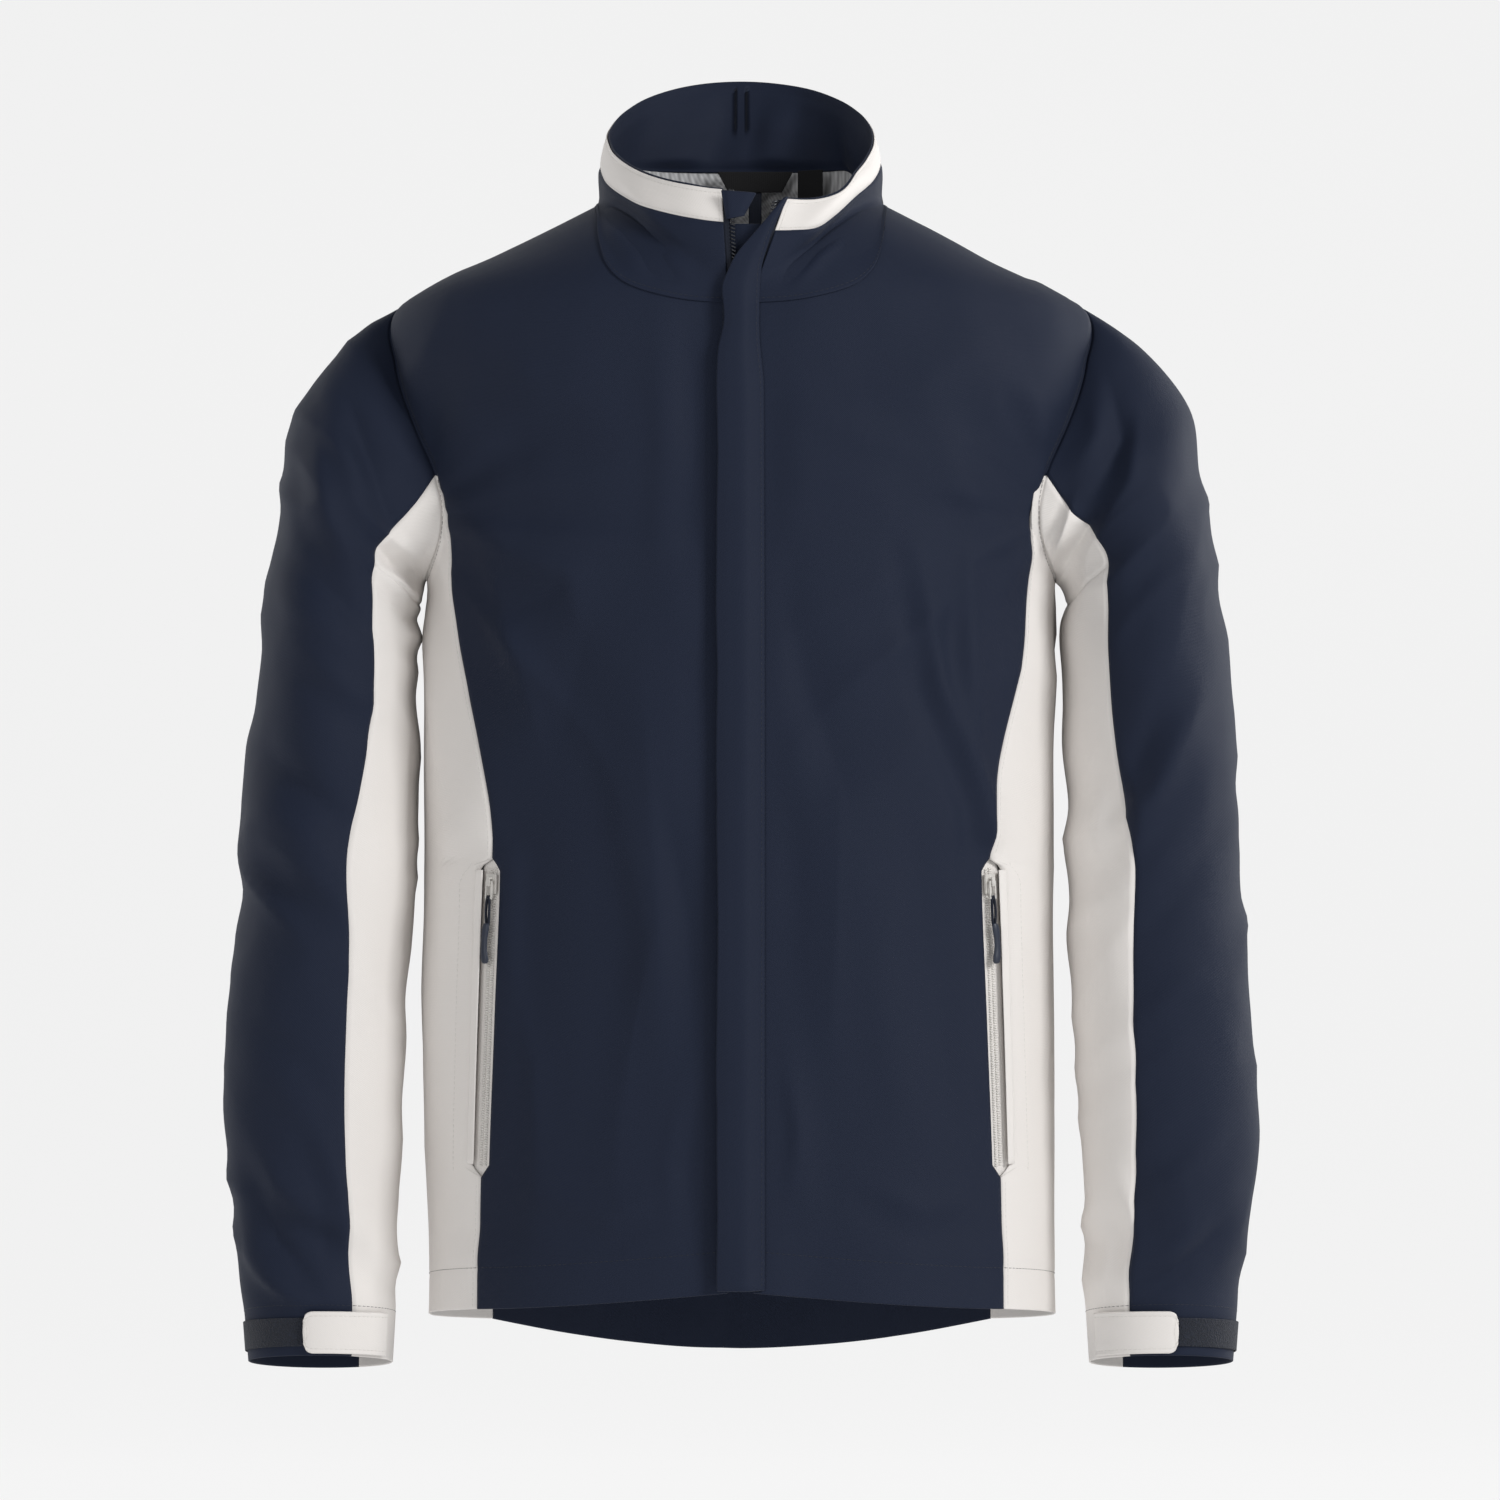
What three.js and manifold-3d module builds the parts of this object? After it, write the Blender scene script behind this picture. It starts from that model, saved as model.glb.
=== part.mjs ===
// Foul weather jacket: a hip-length waterproof shell with a stand collar, hung as it is worn.
// Millimetres, +Z up. The front faces -Y and +X is the wearer's left.
// The body is first laid out round its own middle, then the whole group is moved so that the
// origin sits at the top of the hanger loop inside the back neck.
import * as THREE from "three";
import { mergeVertices } from "three/addons/utils/BufferGeometryUtils.js";
import Module from "manifold-3d";

const wasm = await Module();
wasm.setup();

// ---------- driving dimensions ----------
// body, heights measured down from the neck seam at the centre back
const NECK_HALF = 88; // half width of the neck seam
const NECK_SIDE_DROP = 28; // neck seam at the shoulder
const NECK_FRONT_DROP = 95; // neck seam at the centre front
const NECK_FRONT_DEPTH = 104; // centre front of the neck seam, ahead of the shoulder line
const NECK_BACK_DEPTH = 75; // centre back of the neck seam, behind the shoulder line
const SHOULDER_HALF = 213; // shoulder point to the middle
const SHOULDER_DROP = 92;
const CHEST_HALF = 197; // half width under the arms
const HEM_HALF = 197;
const BACK_DEPTH = 138; // fullest part of the back, behind the shoulder line
const HEM_BACK_DEPTH = 130;
const FRONT_LEAN = 0.055; // the centre front falls forward by this share of its drop
const UNDERARM_DROP = 263; // bottom of the armhole
const ARMHOLE_HALF = 50; // half width of the armhole
const BACK_LENGTH = 759; // neck seam to the hem at the centre back
const FRONT_HEM_RISE = 61; // how much higher the hem is at the centre front
const SIDE_HEM_RISE = 47; // and at the front edge of the side panel
const BACK_SIDE_RISE = 24; // and at the back edge of the side panel
const SUPER = 2.3; // squareness of the body's plan section
// sleeve
const SLEEVE_DROP = 658; // shoulder point down to the cuff
const SLEEVE_FULLNESS = 109.5; // widest stand of the sleeve beyond the shoulder point
const CUFF_HALF_DEPTH = 44;
const CUFF_TILT = 8.5; // the cuff's front edge stands this much above its middle
// collar
const COLLAR_HALF = 84; // half width of the top edge
const COLLAR_BACK = [85, 57.5]; // top edge at the centre back: behind the shoulder line, height
const COLLAR_FRONT = [100, -28]; // top edge at the centre front: ahead of it, height
const COLLAR_END_RIGHT = 12; // the wearer's right end of the top edge, from the middle
const COLLAR_END_LEFT = 27.8; // the wearer's left end, which falls open
const COLLAR_SAG = 13; // how far the open left side droops
const BAND_HEIGHT = 20;
// cloth
const SHELL = 1.2; // shell cloth with its backing
const SEAM_GAP = 0.35; // each cut edge stands back this far from the seam line
const SLEEVE_SEAM_GAP = 0.65; // the same on the sleeves, where the seams fold sharply
const LAYER_GAP = 0.3; // clear space between layers that lie on each other
const LINING = 0.8;
// front zip and flap
const ZIP_HALF_SLOT = 8; // the front edges stand this far from the middle
const TAPE_WIDTH = 7.5;
const TAPE = 0.6;
const TEETH_HALF = 3.2; // half width of the closed chain
const TEETH = 2.4; // thickness of the chain
const TEETH_SLOT = 0.5; // half width of the slot that the slider's web runs in
const LAYER_ROOM = 0.5; // room between curved layers, whose facets bow a little
const ZIP_DEPTH = SHELL + LAYER_ROOM + TAPE / 2; // middle of the tape under the shell's face
const COLLAR_INNER_DEPTH = ZIP_DEPTH + TAPE / 2 + LAYER_ROOM;
const SLIDER_PLATE = 1.4;
const SLIDER_ROOM = TEETH / 2 + LAYER_GAP + 0.1; // from the middle of the teeth to a slider's plate
const ZIP_HEM_GAP = 8; // the zip ends this far above the hem
const PULL_LENGTH = 26;
const FLAP_OVER = 14; // the flap passes the middle by this much
const FLAP_STITCH = 15; // its stitch line stands this far on the other side
const FLAP_STAND = 7.5; // room under the flap
const PLACKET_HALF = 16;
const PLACKET_DEPTH = ZIP_DEPTH + SLIDER_ROOM + SLIDER_PLATE + 1;
// pockets
const POCKET_TOP = 440; // top of the pocket zip below the neck seam
const POCKET_LENGTH = 188;
const POCKET_SLOT_HALF = 5;
const POCKET_ZIP_DEPTH = SHELL + TEETH / 2 + 1.2;
const POCKET_TAPE_HALF = 8.5;
const POCKET_BAG_WIDTH = 130;
const POCKET_BAG_DEPTH = POCKET_ZIP_DEPTH + SLIDER_ROOM + SLIDER_PLATE + 1.2;
const LINING_DEPTH = POCKET_BAG_DEPTH + SHELL + 1.9;
// cuff fastening
const TAB_HEIGHT = 27;
const STRIP_HEIGHT = 18;
const CUFF_EDGE_GAP = 2; // trims stand this far above the cuff's edge
// neck trims
const TRIM_X = 9; // the neck trims sit this far to the left of the middle
const NECK_LABEL = [48, 34, 13]; // top width, bottom width, height
const SIZE_LABEL = [18, 30];
const SIZE_LABEL_ANGLE = 35; // how far round the neck from the centre back it hangs
const LOOP_TAPE = [8, 40]; // width and drop of the hanger loop
const TRIM_Y = 60.4; // front of the neck label, behind the shoulder line

// ---------- colours ----------
const NAVY = { color: 0x1f2a40, roughness: 0.62, metalness: 0 };
const STONE = { color: 0xdedad6, roughness: 0.7, metalness: 0 };
const MESH_GREY = { color: 0xb4b4b6, roughness: 0.85, metalness: 0 };
const LABEL_BLACK = { color: 0x101114, roughness: 0.8, metalness: 0 };
const TAPE_NAVY = { color: 0x141b2b, roughness: 0.8, metalness: 0 };
const TEETH_NAVY = { color: 0x0d1119, roughness: 0.35, metalness: 0 };
const LIGHT_METAL = { color: 0xcfcac4, roughness: 0.35, metalness: 0.8 };
const DARK_METAL = { color: 0x20242c, roughness: 0.35, metalness: 0.7 };
const GRIP_NAVY = { color: 0x1b2338, roughness: 0.5, metalness: 0 };

// ---------- small maths ----------
const lerp = (a, b, t) => a + (b - a) * t;
const steps = (count) => Array.from({ length: count + 1 }, (_, i) => i / count);
const vec = (x, y, z) => new THREE.Vector3(x, y, z);
const radians = THREE.MathUtils.degToRad;
const shifted = (p, direction, distance) => p.clone().addScaledVector(direction, distance);

// A smooth curve through [position, value] knots, positions rising.
function curve(knots) {
  const slope = knots.map((_, i) => {
    const [a, b] = [knots[Math.max(i - 1, 0)], knots[Math.min(i + 1, knots.length - 1)]];
    return (b[1] - a[1]) / (b[0] - a[0]);
  });
  return (at) => {
    let i = 0;
    while (i < knots.length - 2 && at > knots[i + 1][0]) i += 1;
    const [[x0, y0], [x1, y1]] = [knots[i], knots[i + 1]];
    const width = x1 - x0;
    const t = THREE.MathUtils.clamp((at - x0) / width, 0, 1);
    const u = 1 - t;
    return (
      y0 * (1 + 2 * t) * u * u +
      slope[i] * width * t * u * u +
      y1 * t * t * (3 - 2 * t) -
      slope[i + 1] * width * t * t * u
    );
  };
}

// ---------- the body's outer surface ----------
const halfWidth = curve([
  [0, NECK_HALF * 0.32],
  [NECK_SIDE_DROP * 0.43, NECK_HALF * 0.66],
  [NECK_SIDE_DROP, NECK_HALF],
  [lerp(NECK_SIDE_DROP, SHOULDER_DROP, 0.5), lerp(NECK_HALF, SHOULDER_HALF, 0.5)],
  [SHOULDER_DROP, SHOULDER_HALF],
  [SHOULDER_DROP + 38, SHOULDER_HALF + 6],
  [SHOULDER_DROP + 78, SHOULDER_HALF + 3],
  [UNDERARM_DROP - 63, lerp(SHOULDER_HALF, CHEST_HALF, 0.25)],
  [UNDERARM_DROP, CHEST_HALF],
  [UNDERARM_DROP + 137, CHEST_HALF + 1],
  [BACK_LENGTH, HEM_HALF],
]);
const backDepth = curve([
  [0, NECK_BACK_DEPTH],
  [40, lerp(NECK_BACK_DEPTH, BACK_DEPTH, 0.37)],
  [90, lerp(NECK_BACK_DEPTH, BACK_DEPTH, 0.68)],
  [150, BACK_DEPTH - 8],
  [250, BACK_DEPTH],
  [350, BACK_DEPTH - 3],
  [500, HEM_BACK_DEPTH - 1],
  [BACK_LENGTH, HEM_BACK_DEPTH],
]);
const NECK_CURL = 0.00764; // how fast the front rolls back above the neck seam
function frontDepth(drop) {
  const past = drop - NECK_FRONT_DROP;
  const straight = NECK_FRONT_DEPTH + past * FRONT_LEAN;
  return past > 0 ? straight : straight - NECK_CURL * past * past;
}
const depthAt = (drop, back) => (back ? backDepth(drop) : frontDepth(drop));
const superRoot = (share) => Math.pow(Math.max(0, 1 - Math.pow(Math.abs(share), SUPER)), 1 / SUPER);

// How far outside the surface a point is, as a smooth measure that is 0 on it.
const fieldAt = (p) =>
  Math.pow(Math.abs(p.x) / halfWidth(-p.z), SUPER) +
  Math.pow(Math.abs(p.y) / depthAt(-p.z, p.y > 0), SUPER) -
  1;
function bodyNormal(p) {
  const h = 0.05;
  const slope = (dx, dy, dz) =>
    fieldAt(vec(p.x + dx, p.y + dy, p.z + dz)) - fieldAt(vec(p.x - dx, p.y - dy, p.z - dz));
  return vec(slope(h, 0, 0), slope(0, h, 0), slope(0, 0, h)).normalize();
}
const bodyByX = (x, drop, back) =>
  vec(x, (back ? 1 : -1) * depthAt(drop, back) * superRoot(x / halfWidth(drop)), -drop);
const bodyByY = (y, drop, side) =>
  vec(side * halfWidth(drop) * superRoot(y / depthAt(drop, y > 0)), y, -drop);

// The neck seam: plan half ellipses dropped on the surface. Angle 0 is the front, 180 the back.
function neckPoint(angle, side) {
  const x = NECK_HALF * Math.sin(radians(angle));
  const reach = angle > 90 ? NECK_BACK_DEPTH : NECK_FRONT_DEPTH;
  const y = -reach * Math.cos(radians(angle));
  let [low, high] = [0, NECK_FRONT_DROP * 1.3];
  for (let i = 0; i < 40; i += 1) {
    const middle = (low + high) / 2;
    if (fieldAt(vec(x, y, -middle)) > 0) low = middle;
    else high = middle;
  }
  return vec(side * x, y, -low);
}

// The armhole. Angle 0 is the shoulder point, 180 the underarm; back turns it to the rear.
const ARMHOLE_MIDDLE = (SHOULDER_DROP + UNDERARM_DROP) / 2;
const ARMHOLE_HEIGHT_HALF = (UNDERARM_DROP - SHOULDER_DROP) / 2;
const PANEL_ANGLE = 105; // where the side panel's seams meet the armhole
function armholePoint(angle, side) {
  const [c, s] = [Math.cos(radians(angle)), Math.sin(radians(angle))];
  const y = -ARMHOLE_HALF * s * (1 - 0.6 * c);
  const drop = ARMHOLE_MIDDLE - ARMHOLE_HEIGHT_HALF * c;
  return bodyByY(y, drop, side);
}
const PANEL_DROP = ARMHOLE_MIDDLE - ARMHOLE_HEIGHT_HALF * Math.cos(radians(PANEL_ANGLE));

// ---------- seam lines that the panels share ----------
const FRONT_HEM = BACK_LENGTH - FRONT_HEM_RISE;
const SIDE_HEM = BACK_LENGTH - SIDE_HEM_RISE;
const BACK_SIDE_HEM = BACK_LENGTH - BACK_SIDE_RISE;
const POCKET_BOTTOM = POCKET_TOP + POCKET_LENGTH;
// Half width of the front and back panels at their side seams, as steps in from the chest's half width.
const armholeHalf = (angle, back) => Math.abs(armholePoint(back ? 360 - angle : angle, 1).x);
const sideSeam = ([under, below], back) =>
  curve([
    [PANEL_DROP, CHEST_HALF - armholeHalf(PANEL_ANGLE, back)],
    [PANEL_DROP + 22, under],
    [PANEL_DROP + 60, below],
    [PANEL_DROP + 100, 20],
    [PANEL_DROP + 135, 27],
    [PANEL_DROP + 195, 41],
    [POCKET_TOP - 5, 44],
    [lerp(POCKET_TOP, POCKET_BOTTOM, 0.5), 40.5],
    [POCKET_BOTTOM + 5, 37],
    [SIDE_HEM, 36],
  ]);
const frontSeam = sideSeam([14.5, 16], false);
const backSeam = sideSeam([5, 12], true);
const seamHalf = (drop, back = false) => CHEST_HALF - (back ? backSeam(drop) : frontSeam(drop));

// Rows down from the shoulder point to the panel point: the drops along the armhole.
const ARMHOLE_ROWS = [0, 14, 28, 44, 61, 82, PANEL_ANGLE];
const armholeDrop = (angle) => ARMHOLE_MIDDLE - ARMHOLE_HEIGHT_HALF * Math.cos(radians(angle));
// Rows from there to the hem, as shares of the way.
const BODY_ROWS = [0.07, 0.15, 0.24, 0.34, 0.455, 0.57, 0.68, 0.79, 0.9, 1];
const NECK_COLUMNS = 5;
const SHOULDER_COLUMNS = 5;
const SIDE_COLUMNS = 8;

// One point of a front or back panel's outer face, across 0 (middle) to 1 (seam), at a row.
const rowCount = ARMHOLE_ROWS.length + BODY_ROWS.length;
function seamDrop(row, hem) {
  if (row < ARMHOLE_ROWS.length) return armholeDrop(ARMHOLE_ROWS[row]);
  return lerp(PANEL_DROP, hem, BODY_ROWS[row - ARMHOLE_ROWS.length]);
}
function seamWidth(row, hem, back) {
  if (row < ARMHOLE_ROWS.length) return armholeHalf(ARMHOLE_ROWS[row], back);
  return seamHalf(seamDrop(row, hem), back);
}
// Top edge of the panels over half width x: neck seam, then shoulder seam.
function topDrop(x, back) {
  if (x < NECK_HALF) {
    const lean = (Math.asin(x / NECK_HALF) * 180) / Math.PI;
    return -neckPoint(back ? 180 - lean : lean, 1).z;
  }
  let [low, high] = [NECK_SIDE_DROP, SHOULDER_DROP];
  for (let i = 0; i < 40; i += 1) {
    const middle = (low + high) / 2;
    if (halfWidth(middle) < x) low = middle;
    else high = middle;
  }
  return low;
}
// Columns as half widths along the top edge, from the middle edge to the shoulder point.
function topColumns(start) {
  const from = (Math.asin(start / NECK_HALF) * 180) / Math.PI;
  const neck = steps(NECK_COLUMNS).map((t) => NECK_HALF * Math.sin(radians(lerp(from, 90, t))));
  const shoulder = steps(SHOULDER_COLUMNS).map((t) => lerp(NECK_HALF, SHOULDER_HALF, t));
  return [...neck, ...shoulder.slice(1)];
}
const FADE = 200; // the top edge's shape has faded out this far down
function panelGrid({ start, side, back }) {
  const columns = topColumns(start);
  const middleTop = topDrop(start, back);
  const middleHem = back ? BACK_LENGTH : FRONT_HEM;
  const sideHem = back ? BACK_SIDE_HEM : SIDE_HEM;
  return Array.from({ length: rowCount }, (_, row) => {
    const outer = seamDrop(row, sideHem);
    const share = (outer - SHOULDER_DROP) / (sideHem - SHOULDER_DROP);
    const middle = lerp(middleTop, middleHem, share);
    const fade = Math.max(0, 1 - (outer - SHOULDER_DROP) / FADE) ** 2;
    return columns.map((top) => {
      const across = (top - start) / (SHOULDER_HALF - start);
      const rise = topDrop(top, back) - lerp(middleTop, SHOULDER_DROP, across);
      const drop = lerp(middle, outer, back ? across ** (1 + share) : across) + rise * fade;
      const x = lerp(start, seamWidth(row, sideHem, back), across);
      if (row === 0 && top >= NECK_HALF) return vec(side * top, 0, -drop);
      return bodyByX(side * x, drop, back);
    });
  });
}
// The side panel hangs from the underside of the armhole between the two panel seams.
function sideGrid(side) {
  return [0, ...BODY_ROWS].map((share) =>
    steps(SIDE_COLUMNS).map((across) => {
      const top = armholePoint(lerp(PANEL_ANGLE, 360 - PANEL_ANGLE, across), side);
      const hem = lerp(SIDE_HEM, BACK_SIDE_HEM, across);
      const drop = lerp(-top.z, hem, share);
      const line = (at) => {
        const [front, rear] = [false, true].map((back) => bodyByX(seamHalf(at, back), at, back).y);
        return lerp(front, rear, across);
      };
      const pull = (top.y - line(-top.z)) * Math.max(0, 1 - share * 4) ** 2;
      return bodyByY(line(drop) + pull, drop, side);
    }),
  );
}

// ---------- the sleeve's outer surface ----------
// Each station: stand of the outer line beyond the shoulder point and its drop below it, stand of
// the inner line beyond the chest and its drop below the neck, half depth, middle ahead of the
// shoulder line, and the angle from the outer line to the seam of the two sleeve panels.
const GUSSET_STATION = 4;
const STATIONS = [
  [0, 0, 0, 263, ARMHOLE_HALF, 0, PANEL_ANGLE],
  [24, 14, 1, 265, 59, 0, 114],
  [49, 39, 1.5, 267, 67, 0, 118],
  [68, 68, 2, 270, 73, 0, 118],
  [75, 106, 2.5, 279, 77, 0, 115.6],
  [81, 148, 3, 296, 79, 1, 119],
  [87, 193, 3.5, 325, 79.5, 2, 120],
  [92, 243, 4, 362, 78, 4, 120],
  [96.5, 293, 4.5, 402, 75.5, 7, 114],
  [100.5, 343, 5, 445, 72.5, 10, 106],
  [104, 393, 7, 490, 69, 15, 111],
  [107, 448, 10, 543, 64.5, 21, 113],
  [SLEEVE_FULLNESS, 508, 12.5, 600, 59, 27, 114.5],
  [105, 563, 15, 655, 52, 31, 116.5],
  [97, 613, 17, 705, 46.5, 34, 119],
  [93, 658, 19.5, 750, CUFF_HALF_DEPTH, 36, 120],
];
const LAST_STATION = STATIONS.length - 1;
const station = STATIONS[0].map((_, k) => curve(STATIONS.map((row, i) => [i, row[k]])));
const sleeveStretch = (SLEEVE_DROP - STATIONS[GUSSET_STATION][1]) /
  (STATIONS[LAST_STATION][1] - STATIONS[GUSSET_STATION][1]);
const stretchFrom = (value, from) => (value > from ? from + (value - from) * sleeveStretch : value);
const seamAngle = (at) => station[6](at);
function sleeveOval(at, angle) {
  const [c, s] = [Math.cos(radians(angle)), Math.sin(radians(angle))];
  const outerX = SHOULDER_HALF + station[0](at);
  const outerDrop = SHOULDER_DROP + stretchFrom(station[1](at), STATIONS[GUSSET_STATION][1]);
  const innerX = CHEST_HALF + station[2](at);
  const innerFrom = STATIONS[GUSSET_STATION][3];
  const innerDrop = stretchFrom(station[3](at) + UNDERARM_DROP - STATIONS[0][3], innerFrom);
  return vec(
    (outerX + innerX) / 2 + ((outerX - innerX) / 2) * c,
    -station[5](at) - station[4](at) * s,
    -(outerDrop + innerDrop) / 2 + ((innerDrop - outerDrop) / 2) * c,
  );
}
// Angle 0 is the outer line, 180 the inner line, 90 the front.
function sleevePoint(at, angle, side) {
  const p = sleeveOval(at, angle);
  if (at < GUSSET_STATION) {
    const loop = armholePoint(angle, 1);
    const fade = (1 - at / GUSSET_STATION) ** 2;
    p.add(loop.sub(sleeveOval(0, angle)).multiplyScalar(fade));
  }
  const nearCuff = Math.max(0, 1 - (LAST_STATION - at) / 3);
  p.z += CUFF_TILT * nearCuff * Math.sin(radians(angle));
  p.x *= side;
  return p;
}
// Column angles are set at the armhole and slide round so that the panel seam stays a column.
function slidAngle(at, angle) {
  const wrapped = angle > 180 ? 360 - angle : angle;
  const seam = seamAngle(at);
  const slid =
    wrapped < PANEL_ANGLE
      ? (wrapped / PANEL_ANGLE) * seam
      : lerp(seam, 180, (wrapped - PANEL_ANGLE) / (180 - PANEL_ANGLE));
  return angle > 180 ? 360 - slid : slid;
}
const sleeveGrid = (stations, angles, side) =>
  stations.map((at) => angles.map((angle) => sleevePoint(at, slidAngle(at, angle), side)));

// ---------- the collar's outer surface ----------
const collarSag = curve([
  [0, 0.5],
  [19, 0.65],
  [26, 0.8],
  [36, 1],
  [46, 0.92],
  [58, 0.46],
  [70, 0.27],
  [90, 0],
  [180, 0],
]);
const degreesOf = (share) => (Math.asin(share) * 180) / Math.PI;
function collarTop(angle, side) {
  const reach = angle > 90 ? COLLAR_BACK[0] : COLLAR_FRONT[0];
  const y = -reach * Math.cos(radians(angle));
  const shoulderHeight = 15;
  const [endHeight, endY] = y > 0 ? [COLLAR_BACK[1], COLLAR_BACK[0]] : [COLLAR_FRONT[1], -COLLAR_FRONT[0]];
  const sag = side > 0 ? COLLAR_SAG * collarSag(angle) : 0;
  const z = lerp(shoulderHeight, endHeight, y / endY) - sag;
  return vec(side * COLLAR_HALF * Math.sin(radians(angle)), y - sag * 0.8, z);
}
const NECK_START = degreesOf(ZIP_HALF_SLOT / NECK_HALF);
// The stand of the collar over the neck seam angle, up 0 (seam) to 1 (top edge).
function collarPoint(angle, up, side) {
  const end = side > 0 ? COLLAR_END_LEFT : COLLAR_END_RIGHT;
  const topStart = degreesOf(end / COLLAR_HALF);
  const topAngle = lerp(topStart, 180, (angle - NECK_START) / (180 - NECK_START));
  const swell = 2.5 * Math.sin(Math.PI * up);
  const base = neckPoint(angle, side);
  const p = base.clone().lerp(collarTop(topAngle, side), up);
  return p.add(vec(p.x, p.y, 0).normalize().multiplyScalar(swell));
}
// From the wearer's right end round the back to the left end.
function collarAngles() {
  const front = steps(NECK_COLUMNS).map((t) => lerp(NECK_START, 90, t));
  const back = steps(NECK_COLUMNS).map((t) => lerp(90, 180, t));
  const half = [...front, ...back.slice(1)];
  const right = half.map((angle) => [angle, -1]);
  const left = half.slice(0, -1).reverse().map((angle) => [angle, 1]);
  return [...right, ...left];
}
const collarGrid = (ups) =>
  ups.map((up) => collarAngles().map(([angle, side]) => collarPoint(angle, up(angle, side), side)));
const collarLength = (angle, side) =>
  collarPoint(angle, 0, side).distanceTo(collarPoint(angle, 1, side));
const bandShare = (angle, side) => 1 - BAND_HEIGHT / collarLength(angle, side);

// ---------- solids ----------
function geometryOf(points, triangles) {
  const made = new THREE.BufferGeometry();
  made.setAttribute("position", new THREE.Float32BufferAttribute(points.flatMap((p) => p.toArray()), 3));
  made.setIndex(triangles.flat());
  return volumeOf(made) < 0 ? turned(made) : made;
}
function volumeOf(geometry) {
  const [at, index] = [geometry.getAttribute("position"), geometry.getIndex().array];
  const corner = (i) => vec(0, 0, 0).fromBufferAttribute(at, index[i]);
  let sum = 0;
  for (let i = 0; i < index.length; i += 3) sum += corner(i).dot(corner(i + 1).cross(corner(i + 2)));
  return sum;
}
function turned(geometry) {
  const index = geometry.getIndex().array;
  for (let i = 0; i < index.length; i += 3) [index[i + 1], index[i + 2]] = [index[i + 2], index[i + 1]];
  return geometry;
}
// A closed sheet between two grids of points that face each other.
function between(outer, inner) {
  const [rows, columns] = [outer.length, outer[0].length];
  const at = (row, column, layer) => layer * rows * columns + row * columns + column;
  const triangles = [];
  const quad = (a, b, c, d) => triangles.push([a, b, c], [a, c, d]);
  for (let r = 0; r < rows - 1; r += 1)
    for (let c = 0; c < columns - 1; c += 1) {
      const corners = [[r, c], [r, c + 1], [r + 1, c + 1], [r + 1, c]];
      const [a, b, d, e] = corners.map(([i, j]) => at(i, j, 0));
      const [A, B, D, E] = corners.map(([i, j]) => at(i, j, 1));
      quad(a, b, d, e);
      triangles.push([A, D, B], [A, E, D]);
    }
  for (let r = 0; r < rows - 1; r += 1) {
    quad(at(r, 0, 0), at(r + 1, 0, 0), at(r + 1, 0, 1), at(r, 0, 1));
    quad(at(r + 1, columns - 1, 0), at(r, columns - 1, 0), at(r, columns - 1, 1), at(r + 1, columns - 1, 1));
  }
  for (let c = 0; c < columns - 1; c += 1) {
    quad(at(0, c + 1, 0), at(0, c, 0), at(0, c, 1), at(0, c + 1, 1));
    quad(at(rows - 1, c, 0), at(rows - 1, c + 1, 0), at(rows - 1, c + 1, 1), at(rows - 1, c, 1));
  }
  return geometryOf([...outer.flat(), ...inner.flat()], triangles);
}
// Draws each edge of a grid in by a distance, so that neighbours don't touch.
function drawnIn(grid, distance = SEAM_GAP) {
  const [rows, columns] = [grid.length, grid[0].length];
  const toward = (p, q) => shifted(p, q.clone().sub(p).normalize(), distance);
  const narrowed = grid.map((row) =>
    row.map((p, c) => {
      if (c === 0) return toward(p, row[1]);
      return c === columns - 1 ? toward(p, row[columns - 2]) : p;
    }),
  );
  return narrowed.map((row, r) =>
    row.map((p, c) => {
      if (r === 0) return toward(p, narrowed[1][c]);
      return r === rows - 1 ? toward(p, narrowed[rows - 2][c]) : p;
    }),
  );
}
// Normals of a grid from its own neighbours, pointing away from a middle line.
function gridNormals(grid, outward) {
  return grid.map((row, r) =>
    row.map((p, c) => {
      const [above, below] = [grid[r - 1]?.[c] ?? p, grid[r + 1]?.[c] ?? p];
      const down = below.clone().sub(above);
      const round = (row[c + 1] ?? p).clone().sub(row[c - 1] ?? p);
      const normal = down.cross(round).normalize();
      return normal.dot(outward(p)) < 0 ? normal.negate() : normal;
    }),
  );
}
function layer(grid, normals, top, bottom) {
  const move = (distance) => grid.map((row, r) => row.map((p, c) => shifted(p, normals[r][c], distance)));
  return between(move(top), move(bottom));
}
function bodyLayer(grid, top = 0, bottom = -SHELL, gap = SEAM_GAP) {
  const normals = grid.map((row) => row.map(bodyNormal));
  return layer(drawnIn(grid, gap), normals, top, bottom);
}
const fromAxis = (p) => vec(p.x, p.y, 0);

// A local frame: s runs along the piece, b across it, n out of it.
const frameOf = (origin, s, n) => ({ origin, s, n, b: s.clone().cross(n).normalize() });
const inFrame = (f, s, b, n) => {
  const p = shifted(f.origin, f.s, s);
  return shifted(shifted(p, f.b, b), f.n, n);
};
// A box between two corners given in a frame.
function boxIn(f, [s0, b0, n0], [s1, b1, n1]) {
  const face = (s) => [inFrame(f, s, b0, n0), inFrame(f, s, b1, n0), inFrame(f, s, b0, n1), inFrame(f, s, b1, n1)];
  const [low, high] = [face(s0), face(s1)];
  return between([[low[2], low[3]], [high[2], high[3]]], [[low[0], low[1]], [high[0], high[1]]]);
}
// An outline in (s, b) raised from n0 to n1.
function plateIn(f, outline, n0, n1) {
  const shape = new THREE.Shape(outline.map(([s, b]) => new THREE.Vector2(s, b)));
  const made = new THREE.ExtrudeGeometry(shape, { depth: n1 - n0, bevelEnabled: false });
  made.translate(0, 0, n0);
  made.applyMatrix4(new THREE.Matrix4().makeBasis(f.s, f.b, f.n).setPosition(f.origin));
  const merged = bare(made);
  return volumeOf(merged) < 0 ? turned(merged) : merged;
}
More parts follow.
